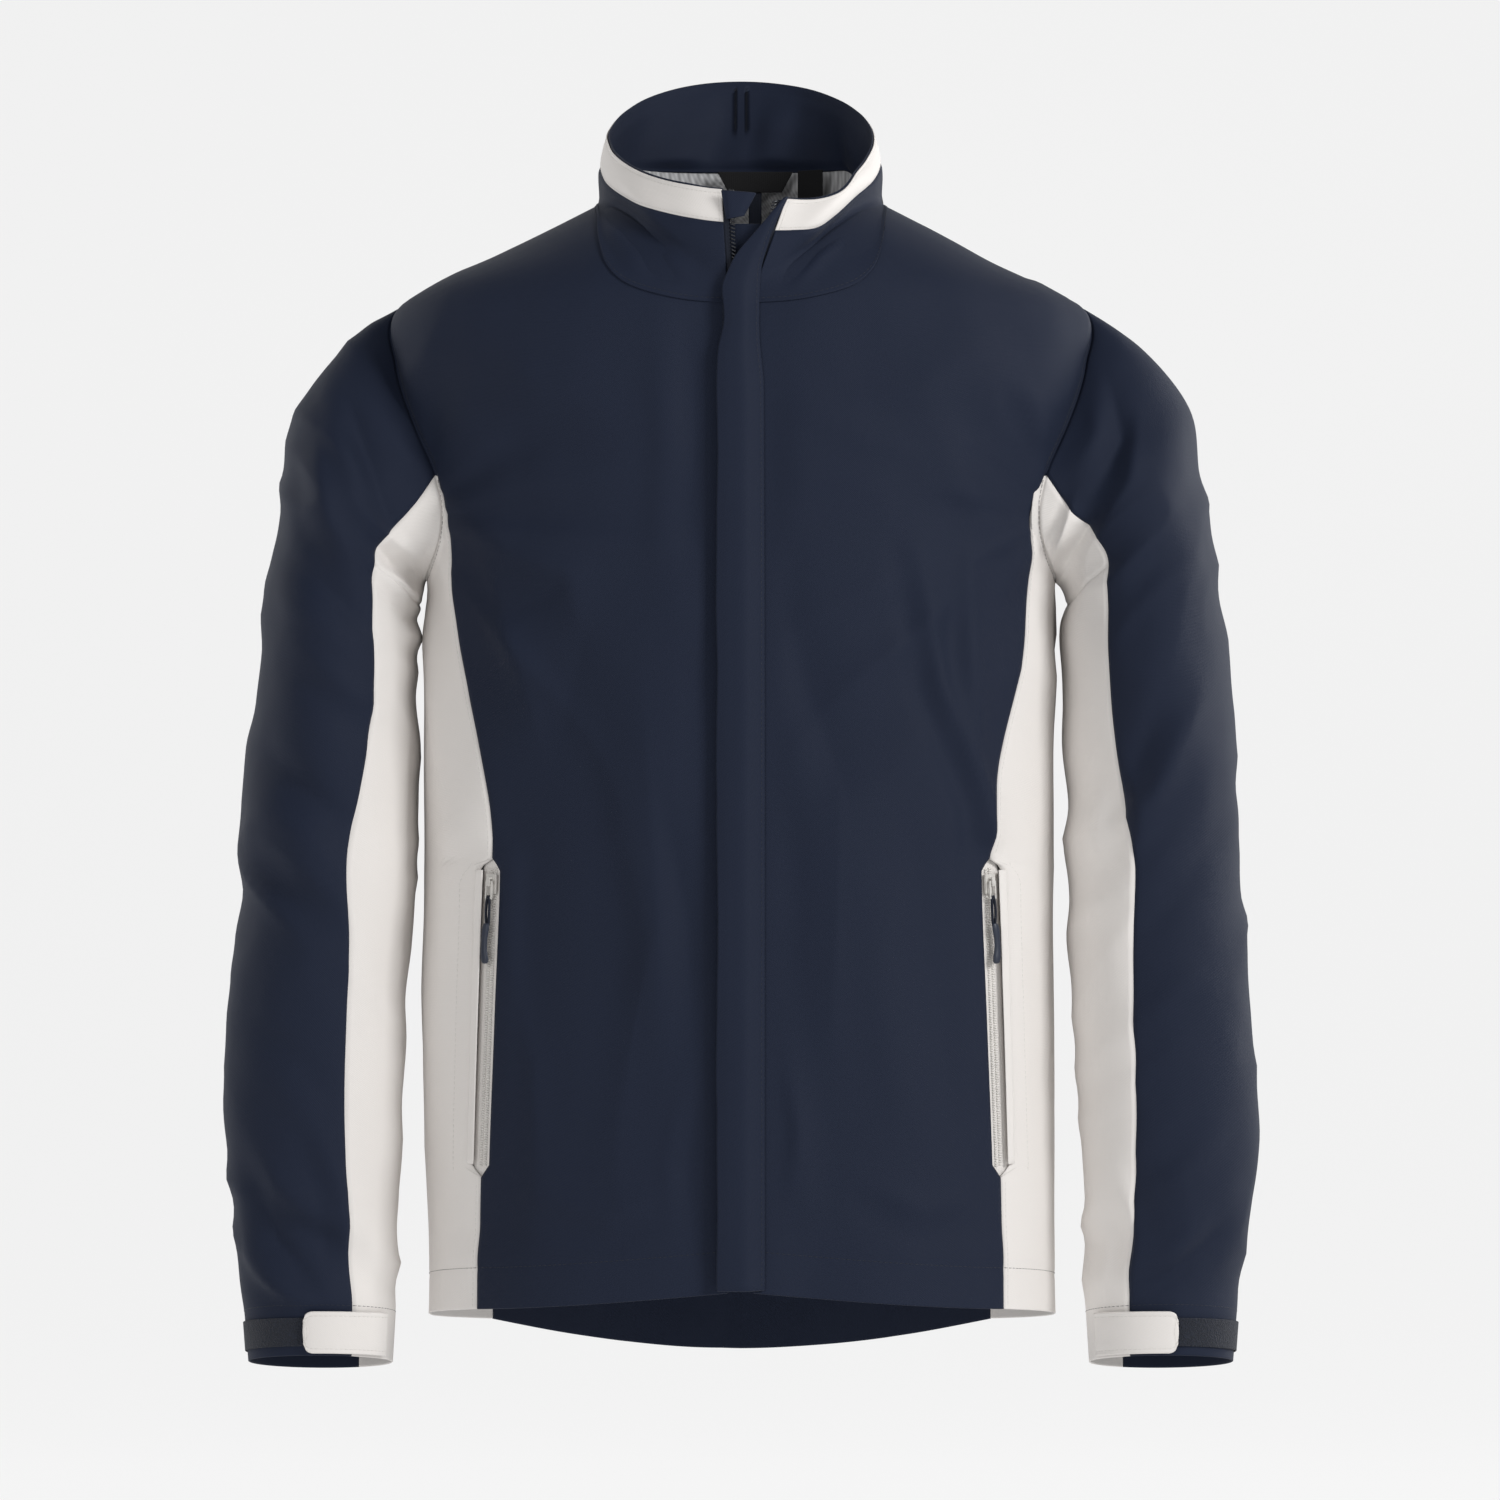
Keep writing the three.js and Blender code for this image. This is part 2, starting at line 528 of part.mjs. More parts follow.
// A ribbon through frames, from b0 to b1 across and n0 to n1 through.
function ribbon(frames, b0, b1, n0, n1) {
  const line = (b, n) => frames.map((f) => inFrame(f, 0, b, n));
  return between([line(b0, n1), line(b1, n1)], [line(b0, n0), line(b1, n0)]);
}

function bare(geometry) {
  const copy = geometry.clone();
  copy.deleteAttribute("normal");
  copy.deleteAttribute("uv");
  return mergeVertices(copy, 1e-3);
}
function manifoldOf(geometry) {
  const merged = bare(geometry);
  return new wasm.Manifold(
    new wasm.Mesh({
      numProp: 3,
      vertProperties: new Float32Array(merged.getAttribute("position").array),
      triVerts: new Uint32Array(merged.getIndex().array),
    }),
  );
}
function geometryFrom(solid) {
  const mesh = solid.getMesh();
  const made = new THREE.BufferGeometry();
  made.setAttribute("position", new THREE.Float32BufferAttribute(mesh.vertProperties, 3));
  made.setIndex(new THREE.Uint32BufferAttribute(mesh.triVerts, 1));
  return made;
}
const joined = (pieces) => geometryFrom(pieces.map(manifoldOf).reduce((a, b) => a.add(b)));
const cut = (piece, cutters) =>
  geometryFrom(cutters.map(manifoldOf).reduce((a, b) => a.subtract(b), manifoldOf(piece)));

const jacket = new THREE.Group();
function add(name, geometry, finish) {
  const mesh = new THREE.Mesh(geometry, new THREE.MeshStandardMaterial(finish));
  mesh.name = name;
  jacket.add(mesh);
}
const SIDES = [
  ["right", -1],
  ["left", 1],
];

// ---------- pocket frames, one each side ----------
function pocketFrame(side) {
  const top = bodyByX(side * seamHalf(POCKET_TOP), POCKET_TOP, false);
  const bottom = bodyByX(side * seamHalf(POCKET_BOTTOM), POCKET_BOTTOM, false);
  const middle = bodyByX(side * seamHalf((POCKET_TOP + POCKET_BOTTOM) / 2), (POCKET_TOP + POCKET_BOTTOM) / 2, false);
  const down = bottom.clone().sub(top).normalize();
  const out = bodyNormal(middle);
  out.addScaledVector(down, -out.dot(down)).normalize();
  return frameOf(top, down, out);
}
const slotBox = (side) =>
  boxIn(pocketFrame(side), [0, -POCKET_SLOT_HALF, -30], [POCKET_LENGTH, POCKET_SLOT_HALF, 30]);

// ---------- shell panels ----------
for (const [name, side] of SIDES) {
  const front = bodyLayer(panelGrid({ start: ZIP_HALF_SLOT, side, back: false }));
  add(`front_panel_${name}`, cut(front, [slotBox(side)]), NAVY);
  add(`side_panel_${name}`, cut(bodyLayer(sideGrid(side)), [slotBox(side)]), STONE);
}
// The back is one piece, made of two halves that share the middle column.
function backGrid() {
  const half = panelGrid({ start: 0, side: 1, back: true });
  return half.map((row) => [
    ...row.slice(1).reverse().map((p) => vec(-p.x, p.y, p.z)),
    ...row,
  ]);
}
add("back_panel", bodyLayer(backGrid()), NAVY);

// ---------- sleeves ----------
const UPPER_ANGLES = [
  ...ARMHOLE_ROWS.slice(1).reverse().map((angle) => 360 - angle),
  ...ARMHOLE_ROWS.map((angle) => angle + 360),
].map((angle) => angle - 360);
const UNDER_ANGLES = steps(SIDE_COLUMNS).map((t) => lerp(PANEL_ANGLE, 360 - PANEL_ANGLE, t));
const SLEEVE_START = 0.05; // the sleeve's cloth starts this share of a station past the seam
const stationsBetween = (from, to) =>
  Array.from({ length: to - from + 1 }, (_, i) => Math.max(from + i, SLEEVE_START));
function sleeveLayer(stations, angles, side, top, bottom, gap = SLEEVE_SEAM_GAP) {
  const wrapped = angles.map((angle) => (angle + 360) % 360);
  const grid = sleeveGrid(stations, wrapped, side);
  const normals = stations.map((at) =>
    wrapped.map((angle) => sleeveNormal(at, slidAngle(at, angle), side)),
  );
  return layer(drawnIn(grid, gap), normals, top, bottom);
}
function sleeveNormal(at, angle, side) {
  const [a0, a1] = [Math.max(0, at - 0.1), Math.min(LAST_STATION, at + 0.1)];
  const down = sleevePoint(a1, angle, side).sub(sleevePoint(a0, angle, side));
  const round = sleevePoint(at, angle + 1, side).sub(sleevePoint(at, angle - 1, side));
  const normal = down.cross(round).normalize();
  const middle = sleevePoint(at, angle, side).sub(sleevePoint(at, angle + 180, side));
  return normal.dot(middle) < 0 ? normal.negate() : normal;
}
for (const [name, side] of SIDES) {
  const all = stationsBetween(0, LAST_STATION);
  add(`upper_sleeve_${name}`, sleeveLayer(all, UPPER_ANGLES, side, 0, -SHELL), NAVY);
  const gusset = stationsBetween(0, GUSSET_STATION);
  add(`underarm_gusset_${name}`, sleeveLayer(gusset, UNDER_ANGLES, side, 0, -SHELL), STONE);
  const lower = stationsBetween(GUSSET_STATION, LAST_STATION);
  add(`under_sleeve_${name}`, sleeveLayer(lower, UNDER_ANGLES, side, 0, -SHELL), STONE);
}

// ---------- collar ----------
// Rows from the neck seam up: seam, middle, foot of the band, top edge.
const COLLAR_ROWS = [() => 0, (a, s) => bandShare(a, s) / 2, bandShare, () => 1];
const collarFull = collarGrid(COLLAR_ROWS);
const collarNormals = gridNormals(collarFull, fromAxis);
function collarLayer(from, to, top, bottom, gap = SEAM_GAP) {
  const rows = (all) => all.slice(from, to + 1);
  return layer(drawnIn(rows(collarFull), gap), rows(collarNormals), top, bottom);
}
const INNER = [-COLLAR_INNER_DEPTH, -COLLAR_INNER_DEPTH - 1];
add("collar_outer", collarLayer(0, 2, 0, -SHELL), NAVY);
add("collar_band", collarLayer(2, 3, 0, -SHELL), STONE);
add("collar_inner", collarLayer(0, 3, ...INNER, 1), NAVY);

// ---------- lining ----------
const liningLayer = (grid) => bodyLayer(grid.slice(1, -1), -LINING_DEPTH, -LINING_DEPTH - LINING);
for (const [name, side] of SIDES) {
  const grid = panelGrid({ start: PLACKET_HALF + 3, side, back: false });
  add(`front_lining_${name}`, liningLayer(grid), MESH_GREY);
  add(`side_lining_${name}`, liningLayer(sideGrid(side)), MESH_GREY);
}
add("back_lining", liningLayer(backGrid()), MESH_GREY);

// ---------- front zip, flap and placket ----------
const FRONT_DOWN = vec(0, -FRONT_LEAN, -1).normalize();
const FRONT_OUT = vec(0, -1, FRONT_LEAN).normalize();
const FRONT_TOP = vec(0, -NECK_FRONT_DEPTH, -NECK_FRONT_DROP);
const front = frameOf(FRONT_TOP, FRONT_DOWN, FRONT_OUT);
const FRONT_RUN = (FRONT_HEM - NECK_FRONT_DROP) * Math.hypot(1, FRONT_LEAN);
const ZIP_END = FRONT_RUN - ZIP_HEM_GAP;
const BOX_LENGTH = 12;
const SLIDER_LENGTH = 12;
const SLIDER_START = 3; // top of the closed slider below the neck seam
// Frames on a front edge, from the hem up the front, then up the open end of the collar.
// Across is measured from the edge towards the middle.
function edgeFrames(side) {
  const toMiddle = vec(-side, 0, 0);
  const low = shifted(FRONT_TOP, FRONT_DOWN, ZIP_END - BOX_LENGTH);
  const high = shifted(FRONT_TOP, FRONT_DOWN, SLIDER_START);
  const straight = [low, high].map((origin) => ({
    origin: origin.clone().setX(side * ZIP_HALF_SLOT),
    b: toMiddle,
    n: FRONT_OUT,
    s: FRONT_DOWN,
  }));
  return [...straight, ...collarEnd(side, COLLAR_ROWS.map((up) => up(NECK_START, side)))];
}
function collarEnd(side, ups) {
  return ups.map((up) => {
    const edge = collarPoint(NECK_START, up, side);
    const b = edge.clone().sub(collarPoint(NECK_START + 5, up, side)).normalize();
    const [above, below] = [Math.min(1, up + 0.1), Math.max(0, up - 0.1)];
    const s = collarPoint(NECK_START, below, side).sub(collarPoint(NECK_START, above, side)).normalize();
    const n = s.clone().cross(b).normalize();
    return { origin: edge, s, b, n: n.y < 0 ? n : n.negate() };
  });
}
for (const [name, side] of SIDES) {
  const frames = edgeFrames(side);
  const [teethFrom, teethTo] = [ZIP_HALF_SLOT - TEETH_HALF, ZIP_HALF_SLOT - TEETH_SLOT];
  const [tapeLow, tapeHigh] = [-ZIP_DEPTH - TAPE / 2, -ZIP_DEPTH + TAPE / 2];
  const tape = ribbon(frames, teethFrom - LAYER_GAP - TAPE_WIDTH, teethFrom - LAYER_GAP, tapeLow, tapeHigh);
  add(`zip_tape_${name}`, tape, TAPE_NAVY);
  const teeth = ribbon(frames, teethFrom, teethTo, -ZIP_DEPTH - TEETH / 2, -ZIP_DEPTH + TEETH / 2);
  add(`zip_teeth_${name}`, teeth, TEETH_NAVY);
}
// Slider: two plates joined by a thin web between the chains, with a bridge for the pull.
function slider(f, { half, length, centre }) {
  const plate = SLIDER_PLATE;
  const [up, down] = [centre + SLIDER_ROOM, centre - SLIDER_ROOM];
  const bridge = (s0, s1) => boxIn(f, [s0, -1.2, up + plate - 0.4], [s1, 1.2, up + plate + 3.2]);
  return joined([
    boxIn(f, [0, -half, up], [length, half, up + plate]),
    boxIn(f, [0, -half, down - plate], [length, half, down]),
    boxIn(f, [0.5, -0.22, down - 0.4], [3.5, 0.22, up + 0.4]),
    bridge(2, 3),
    bridge(6.4, 7.4),
    boxIn(f, [2, -1.2, up + plate + 2.5], [7.4, 1.2, up + plate + 3.2]),
  ]);
}
const BAR = 1; // thickness of a pull's bars
const PIVOT_S = 4.7; // the pull's pivot along the slider
const sliderTop = (centre) => centre + SLIDER_ROOM + SLIDER_PLATE;
const FRONT_PULL_RISE = 0.5; // room under the front pull, above its slider's plate
const POCKET_PULL_RISE = 1.2; // the pocket pull has to clear the cloth below its slot
// Pull: an open link round the bridge, running on into a plain tab of the given length.
function pullLink(f, { base, length, link, half }) {
  const n0 = base;
  const n1 = n0 + BAR;
  const s0 = PIVOT_S - BAR / 2;
  const whole = boxIn(f, [s0, -half, n0], [s0 + length, half, n1]);
  const hole = boxIn(f, [s0 + BAR, -half + BAR, n0 - 1], [s0 + link - BAR, half - BAR, n1 + 1]);
  return cut(whole, [hole]);
}
const zipFrame = { ...front, origin: shifted(front.origin, front.s, SLIDER_START) };
add(
  "front_zip_slider",
  slider(zipFrame, { half: 5.5, length: SLIDER_LENGTH, centre: -ZIP_DEPTH }),
  DARK_METAL,
);
add(
  "front_zip_pull",
  pullLink(zipFrame, {
    base: sliderTop(-ZIP_DEPTH) + FRONT_PULL_RISE,
    length: PULL_LENGTH,
    link: 9,
    half: 2.8,
  }),
  DARK_METAL,
);
const boxFrame = { ...front, origin: shifted(front.origin, front.s, ZIP_END - BOX_LENGTH + LAYER_GAP) };
add(
  "front_zip_box",
  boxIn(boxFrame, [0, -TEETH_HALF, -ZIP_DEPTH - 2], [BOX_LENGTH, -TEETH_SLOT, -ZIP_DEPTH + 2]),
  DARK_METAL,
);
add(
  "front_zip_pin",
  boxIn(boxFrame, [0, TEETH_SLOT, -ZIP_DEPTH - 0.9], [BOX_LENGTH - 1, TEETH_HALF - 0.6, -ZIP_DEPTH + 0.9]),
  DARK_METAL,
);

// Flap section, from the stitch line over the zip to the free edge: [across, stand].
const flapSection = [
  [FLAP_STITCH, LAYER_GAP + 0.1],
  [FLAP_STITCH - 5, FLAP_STAND * 0.5],
  [FLAP_STITCH - 11, FLAP_STAND],
  [-FLAP_OVER + 7, FLAP_STAND],
  [-FLAP_OVER, FLAP_STAND - 1.5],
];
const FLAP_TOP_GAP = 2;
function flapStrip(origins, stand) {
  const xSign = Math.sign(front.b.x);
  const line = ([across, height], lift) =>
    origins.map((f) => inFrame(f, 0, across * xSign, height * stand + lift));
  return between(flapSection.map((p) => line(p, SHELL)), flapSection.map((p) => line(p, 0)));
}
const flapOrigin = (along) => ({ ...front, origin: shifted(front.origin, front.s, along) });
add("storm_flap", flapStrip([flapOrigin(FLAP_TOP_GAP), flapOrigin(FRONT_RUN - 2)], 1), NAVY);
// The flap's end above the neck seam is sewn to the open left end of the collar.
{
  const rows = COLLAR_ROWS.map((up) => up(NECK_START, 1));
  const frames = collarEnd(1, [0.12, rows[1], rows[2], 0.95]);
  const stand = LAYER_GAP + 1;
  add("storm_flap_collar_end", ribbon(frames, -7, 9, stand, stand + SHELL), NAVY);
}
{
  const run = FRONT_RUN - 12;
  const placket = boxIn(front, [6, -PLACKET_HALF, -PLACKET_DEPTH - SHELL], [run, PLACKET_HALF, -PLACKET_DEPTH]);
  add("inner_placket", placket, NAVY);
}
// The chin guard folds over the top of the right half of the zip.
{
  const edge = collarPoint(NECK_START, 0.96, -1);
  const guard = frameOf(vec(-COLLAR_END_RIGHT, edge.y - 3.6, COLLAR_FRONT[1]), vec(0, 0, -1), vec(0, -1, 0));
  const toLeft = Math.sign(guard.b.x);
  const outline = [
    [1, 0.5 * toLeft],
    [2.5, 21 * toLeft],
    [16, 14 * toLeft],
    [18, 3.5 * toLeft],
  ];
  add("chin_guard", plateIn(guard, outline, 0, 1), NAVY);
}

// ---------- pockets ----------
const POCKET_SLIDER_AT = 6; // top of the closed slider below the slot's top
for (const [name, side] of SIDES) {
  const f = pocketFrame(side);
  const toSide = side * Math.sign(f.b.x);
  const z = -POCKET_ZIP_DEPTH;
  const tape = boxIn(f, [-6, -POCKET_TAPE_HALF, z - TAPE / 2], [POCKET_LENGTH + 6, POCKET_TAPE_HALF, z + TAPE / 2]);
  const chain = boxIn(f, [1, -2.6, z - TEETH / 2], [POCKET_LENGTH - 1, 2.6, z + TEETH / 2]);
  const slot = boxIn(f, [2, -TEETH_SLOT, z - 5], [POCKET_LENGTH - 3, TEETH_SLOT, z + 5]);
  add(`pocket_zip_tape_${name}`, cut(joined([tape, chain]), [slot]), STONE);
  const run = { ...f, origin: shifted(f.origin, f.s, POCKET_SLIDER_AT) };
  add(
    `pocket_zip_slider_${name}`,
    slider(run, { half: 4, length: SLIDER_LENGTH, centre: z }),
    LIGHT_METAL,
  );
  const base = sliderTop(z) + POCKET_PULL_RISE;
  const link = 11;
  add(`pocket_pull_loop_${name}`, pullLink(run, { base, length: link, link, half: 2.6 }), LIGHT_METAL);
  const cordFrom = PIVOT_S - BAR / 2 + link + LAYER_GAP;
  const cordTo = cordFrom + 16;
  const middle = base + BAR / 2;
  const cord = boxIn(run, [cordFrom, -1.3, middle - 0.8], [cordTo, 1.3, middle + 0.8]);
  add(`pocket_pull_cord_${name}`, cord, TAPE_NAVY);
  const gripFrom = cordTo + LAYER_GAP;
  const grip = [
    [gripFrom, -2.2],
    [gripFrom + 5, -3],
    [gripFrom + 21, -3],
    [gripFrom + 25, -1.8],
    [gripFrom + 25, 1.8],
    [gripFrom + 21, 3],
    [gripFrom + 5, 3],
    [gripFrom, 2.2],
  ];
  add(`pocket_pull_grip_${name}`, plateIn(run, grip, middle - 0.8, middle + 2.2), GRIP_NAVY);
  const weltRows = steps(8).map((down) =>
    [0.4, 6.4].map((across) => {
      const at = inFrame(f, lerp(4, POCKET_LENGTH - 4, down), toSide * (POCKET_SLOT_HALF + across), 0);
      return bodyByY(at.y, -at.z, side);
    }),
  );
  add(`pocket_welt_${name}`, bodyLayer(weltRows, LAYER_ROOM + 0.8, LAYER_ROOM, 0), STONE);
  const bag = steps(6).map((down) =>
    steps(5).map((across) => {
      const drop = lerp(POCKET_TOP - 10, POCKET_BOTTOM + 20, down);
      const x = seamHalf(drop) - 2 - POCKET_BAG_WIDTH * across;
      return bodyByX(side * x, drop, false);
    }),
  );
  add(
    `pocket_bag_${name}`,
    bodyLayer(bag, -POCKET_BAG_DEPTH, -POCKET_BAG_DEPTH - SHELL, 0),
    MESH_GREY,
  );
}

// ---------- cuff fastenings ----------
// A patch on the cuff between two angles, from low above the edge up to low + height.
function cuffPatch(side, fromAngle, toAngle, low, height, bottom, top) {
  const cuffSpan = -sleevePoint(LAST_STATION, 0, 1).z + sleevePoint(LAST_STATION - 1, 0, 1).z;
  const stations = [low + height, low + height / 2, low].map((up) => LAST_STATION - up / cuffSpan);
  const columns = Math.ceil(Math.abs(toAngle - fromAngle) / 7.5);
  const angles = steps(columns).map((t) => lerp(fromAngle, toAngle, t));
  const grid = stations.map((at) => angles.map((angle) => sleevePoint(at, angle, side)));
  const normals = stations.map((at) => angles.map((angle) => sleeveNormal(at, angle, side)));
  return layer(grid, normals, top, bottom);
}
const STRIP = 1;
const TAB_ANGLES = [82, 150];
for (const [name, side] of SIDES) {
  const stripLow = CUFF_EDGE_GAP + (TAB_HEIGHT - STRIP_HEIGHT) / 2;
  const strip = cuffPatch(side, -70, 140, stripLow, STRIP_HEIGHT, 0.5, 0.5 + STRIP);
  add(`cuff_loop_strip_${name}`, strip, TAPE_NAVY);
  const hookBottom = 0.5 + STRIP + LAYER_GAP;
  const hook = cuffPatch(side, 86, 125, stripLow + 1, STRIP_HEIGHT - 2, hookBottom, hookBottom + 0.8);
  add(`cuff_hook_patch_${name}`, hook, TAPE_NAVY);
  const tabBottom = hookBottom + 0.8 + LAYER_GAP + 0.1;
  const [free, sewn] = TAB_ANGLES;
  const tab = cuffPatch(side, free, sewn, CUFF_EDGE_GAP, TAB_HEIGHT, tabBottom, tabBottom + SHELL);
  add(`cuff_tab_${name}`, tab, STONE);
}

// ---------- neck trims ----------
const trim = frameOf(vec(TRIM_X, TRIM_Y, 0), vec(0, 0, -1), vec(0, -1, 0));
const [labelTop, labelBottom, labelHeight] = NECK_LABEL;
add(
  "neck_label",
  plateIn(trim, [[1, -labelTop / 2], [1, labelTop / 2], [1 + labelHeight, labelBottom / 2], [1 + labelHeight, -labelBottom / 2]], -0.8, 0),
  LABEL_BLACK,
);
{
  const spot = neckPoint(180 - SIZE_LABEL_ANGLE, 1).setZ(0);
  const inward = vec(-spot.x / NECK_HALF ** 2, -spot.y / NECK_BACK_DEPTH ** 2, 0).normalize();
  const [width, drop] = SIZE_LABEL;
  const hung = frameOf(shifted(spot, inward, LINING_DEPTH + LINING + 1.2), vec(0, 0, -1), inward);
  add("size_label", boxIn(hung, [1, -width / 2, -0.8], [1 + drop, width / 2, 0]), LABEL_BLACK);
}
// A tape folded into a narrow loop, open at both sides.
{
  const [width, drop] = LOOP_TAPE;
  const [near, far] = [-1.1, -5.1];
  const outer = boxIn(trim, [0, -width / 2, far], [drop, width / 2, near]);
  const hollow = boxIn(trim, [0.8, -width, far + 0.8], [drop - 0.8, width, near - 0.8]);
  add("hanger_loop", cut(outer, [hollow]), NAVY);
  jacket.position.set(-TRIM_X, -(TRIM_Y - (near + far) / 2), 0);
}

export default jacket;
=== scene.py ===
"""Foul weather jacket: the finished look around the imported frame.

Surfaces are laid out in mm round the middle of the body, with heights as drops below the neck seam
at the centre back, and placed() puts them in the frame in metres. The front faces -Y."""

import math

import bpy
import numpy as np
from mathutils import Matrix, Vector


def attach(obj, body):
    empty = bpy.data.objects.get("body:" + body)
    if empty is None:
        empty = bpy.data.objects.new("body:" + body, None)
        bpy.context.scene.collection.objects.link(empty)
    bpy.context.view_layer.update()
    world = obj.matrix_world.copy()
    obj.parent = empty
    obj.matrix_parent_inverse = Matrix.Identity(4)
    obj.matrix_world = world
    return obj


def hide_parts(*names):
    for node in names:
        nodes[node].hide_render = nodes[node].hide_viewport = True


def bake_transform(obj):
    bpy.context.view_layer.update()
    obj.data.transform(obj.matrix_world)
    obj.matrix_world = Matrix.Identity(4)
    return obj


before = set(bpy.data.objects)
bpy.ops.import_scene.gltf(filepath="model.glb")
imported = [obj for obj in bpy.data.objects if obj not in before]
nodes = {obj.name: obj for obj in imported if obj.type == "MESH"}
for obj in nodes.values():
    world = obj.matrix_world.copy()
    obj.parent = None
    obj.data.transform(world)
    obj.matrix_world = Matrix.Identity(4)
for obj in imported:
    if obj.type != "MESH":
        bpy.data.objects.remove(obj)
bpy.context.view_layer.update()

# ---------- the jacket's measures, in mm ----------
NECK_HALF, NECK_SIDE_DROP, NECK_FRONT_DROP = 88, 28, 95
NECK_FRONT_DEPTH, NECK_BACK_DEPTH, NECK_CURL = 104, 75, 0.00764
SHOULDER_HALF, SHOULDER_DROP = 213, 92
CHEST_HALF, HEM_HALF = 197, 197
BACK_DEPTH, HEM_BACK_DEPTH, FRONT_LEAN = 138, 130, 0.055
UNDERARM_DROP, ARMHOLE_HALF, PANEL_ANGLE = 263, 50, 105
FRONT_HEM, SIDE_HEM, BACK_SIDE_HEM, BACK_HEM = 698, 712, 735, 759
SUPER = 2.3
COLLAR_HALF, COLLAR_BACK, COLLAR_FRONT = 84, (85, 57.5), (100, -28)
COLLAR_END_RIGHT, COLLAR_END_LEFT, COLLAR_SAG, BAND_HEIGHT = 12, 27.8, 13, 20
ZIP_HALF_SLOT, ZIP_DEPTH = 8, 2
POCKET_TOP, POCKET_LENGTH, POCKET_SLOT_HALF, POCKET_ZIP_DEPTH = 440, 188, 5, 3.6
POCKET_BOTTOM = POCKET_TOP + POCKET_LENGTH
CLOTH, HEM_TURN = 0.9, 25
LINING_DEPTH = 10.9
MIDDLE = np.array([-9.0, -63.5, 0.0])  # the body's middle line in the frame
SIDES = (("right", -1), ("left", 1))


def placed(p):
    return (np.asarray(p, float) + MIDDLE) / 1000


def lerp(a, b, t):
    return a + (b - a) * t


def smooth(t):
    t = np.clip(t, 0, 1)
    return t * t * (3 - 2 * t)


def unit(v):
    return v / np.maximum(np.linalg.norm(v, axis=-1, keepdims=True), 1e-12)


def curve(knots):
    """A smooth curve through (position, value) knots, as a function of arrays."""
    xs, ys = np.array(knots, float).T
    n = len(xs)
    after, before = np.minimum(np.arange(n) + 1, n - 1), np.maximum(np.arange(n) - 1, 0)
    slope = (ys[after] - ys[before]) / (xs[after] - xs[before])

    def at(x):
        x = np.asarray(x, float)
        i = np.clip(np.searchsorted(xs, x, side="left") - 1, 0, n - 2)
        w = xs[i + 1] - xs[i]
        t = np.clip((x - xs[i]) / w, 0, 1)
        u = 1 - t
        low = ys[i] * (1 + 2 * t) * u * u + slope[i] * w * t * u * u
        return low + ys[i + 1] * t * t * (3 - 2 * t) - slope[i + 1] * w * t * t * u

    return at


# ---------- the body's surface ----------
half_width = curve([
    (0, NECK_HALF * 0.32),
    (NECK_SIDE_DROP * 0.43, NECK_HALF * 0.66),
    (NECK_SIDE_DROP, NECK_HALF),
    ((NECK_SIDE_DROP + SHOULDER_DROP) / 2, (NECK_HALF + SHOULDER_HALF) / 2),
    (SHOULDER_DROP, SHOULDER_HALF),
    (SHOULDER_DROP + 38, SHOULDER_HALF + 6),
    (SHOULDER_DROP + 78, SHOULDER_HALF + 3),
    (UNDERARM_DROP - 63, lerp(SHOULDER_HALF, CHEST_HALF, 0.25)),
    (UNDERARM_DROP, CHEST_HALF),
    (UNDERARM_DROP + 137, CHEST_HALF + 1),
    (BACK_HEM, HEM_HALF),
])
back_depth = curve([
    (0, NECK_BACK_DEPTH),
    (40, lerp(NECK_BACK_DEPTH, BACK_DEPTH, 0.37)),
    (90, lerp(NECK_BACK_DEPTH, BACK_DEPTH, 0.68)),
    (150, BACK_DEPTH - 8),
    (250, BACK_DEPTH),
    (350, BACK_DEPTH - 3),
    (500, HEM_BACK_DEPTH - 1),
    (BACK_HEM, HEM_BACK_DEPTH),
])


def front_depth(drop):
    past = np.asarray(drop, float) - NECK_FRONT_DROP
    straight = NECK_FRONT_DEPTH + past * FRONT_LEAN
    return np.where(past > 0, straight, straight - NECK_CURL * past * past)


def depth_at(drop, back):
    return np.where(back, back_depth(drop), front_depth(drop))


def super_root(share):
    return np.maximum(0, 1 - np.abs(share) ** SUPER) ** (1 / SUPER)


def body_by_x(x, drop, back):
    y = np.where(back, 1, -1) * depth_at(drop, back) * super_root(x / half_width(drop))
    return np.stack(np.broadcast_arrays(x, y, -np.asarray(drop, float)), -1)


def body_by_y(y, drop, side):
    x = side * half_width(drop) * super_root(y / depth_at(drop, np.asarray(y) > 0))
    return np.stack(np.broadcast_arrays(x, y, -np.asarray(drop, float)), -1)


def outside(p):
    x, y, drop = p[..., 0], p[..., 1], -p[..., 2]
    return (np.abs(x) / half_width(drop)) ** SUPER + (np.abs(y) / depth_at(drop, y > 0)) ** SUPER - 1


def body_normal(p, reach=0.05):
    ways = np.eye(3) * reach
    return unit(np.stack([outside(p + way) - outside(p - way) for way in ways], -1))


def halved(low, high, too_low):
    """The value between low and high at which too_low turns false, found by halving."""
    for _ in range(40):
        middle = (low + high) / 2
        raised = too_low(middle)
        low, high = np.where(raised, middle, low), np.where(raised, high, middle)
    return low


def neck_point(angle, side):
    """The neck seam: angle 0 is the front, 180 the back."""
    angle = np.asarray(angle, float)
    x = NECK_HALF * np.sin(np.radians(angle))
    y = -np.where(angle > 90, NECK_BACK_DEPTH, NECK_FRONT_DEPTH) * np.cos(np.radians(angle))
    low, high = np.zeros_like(x), np.full_like(x, NECK_FRONT_DROP * 1.3)
    drop = halved(low, high, lambda middle: outside(np.stack([x, y, -middle], -1)) > 0)
    return np.stack([side * x, y, -drop], -1)


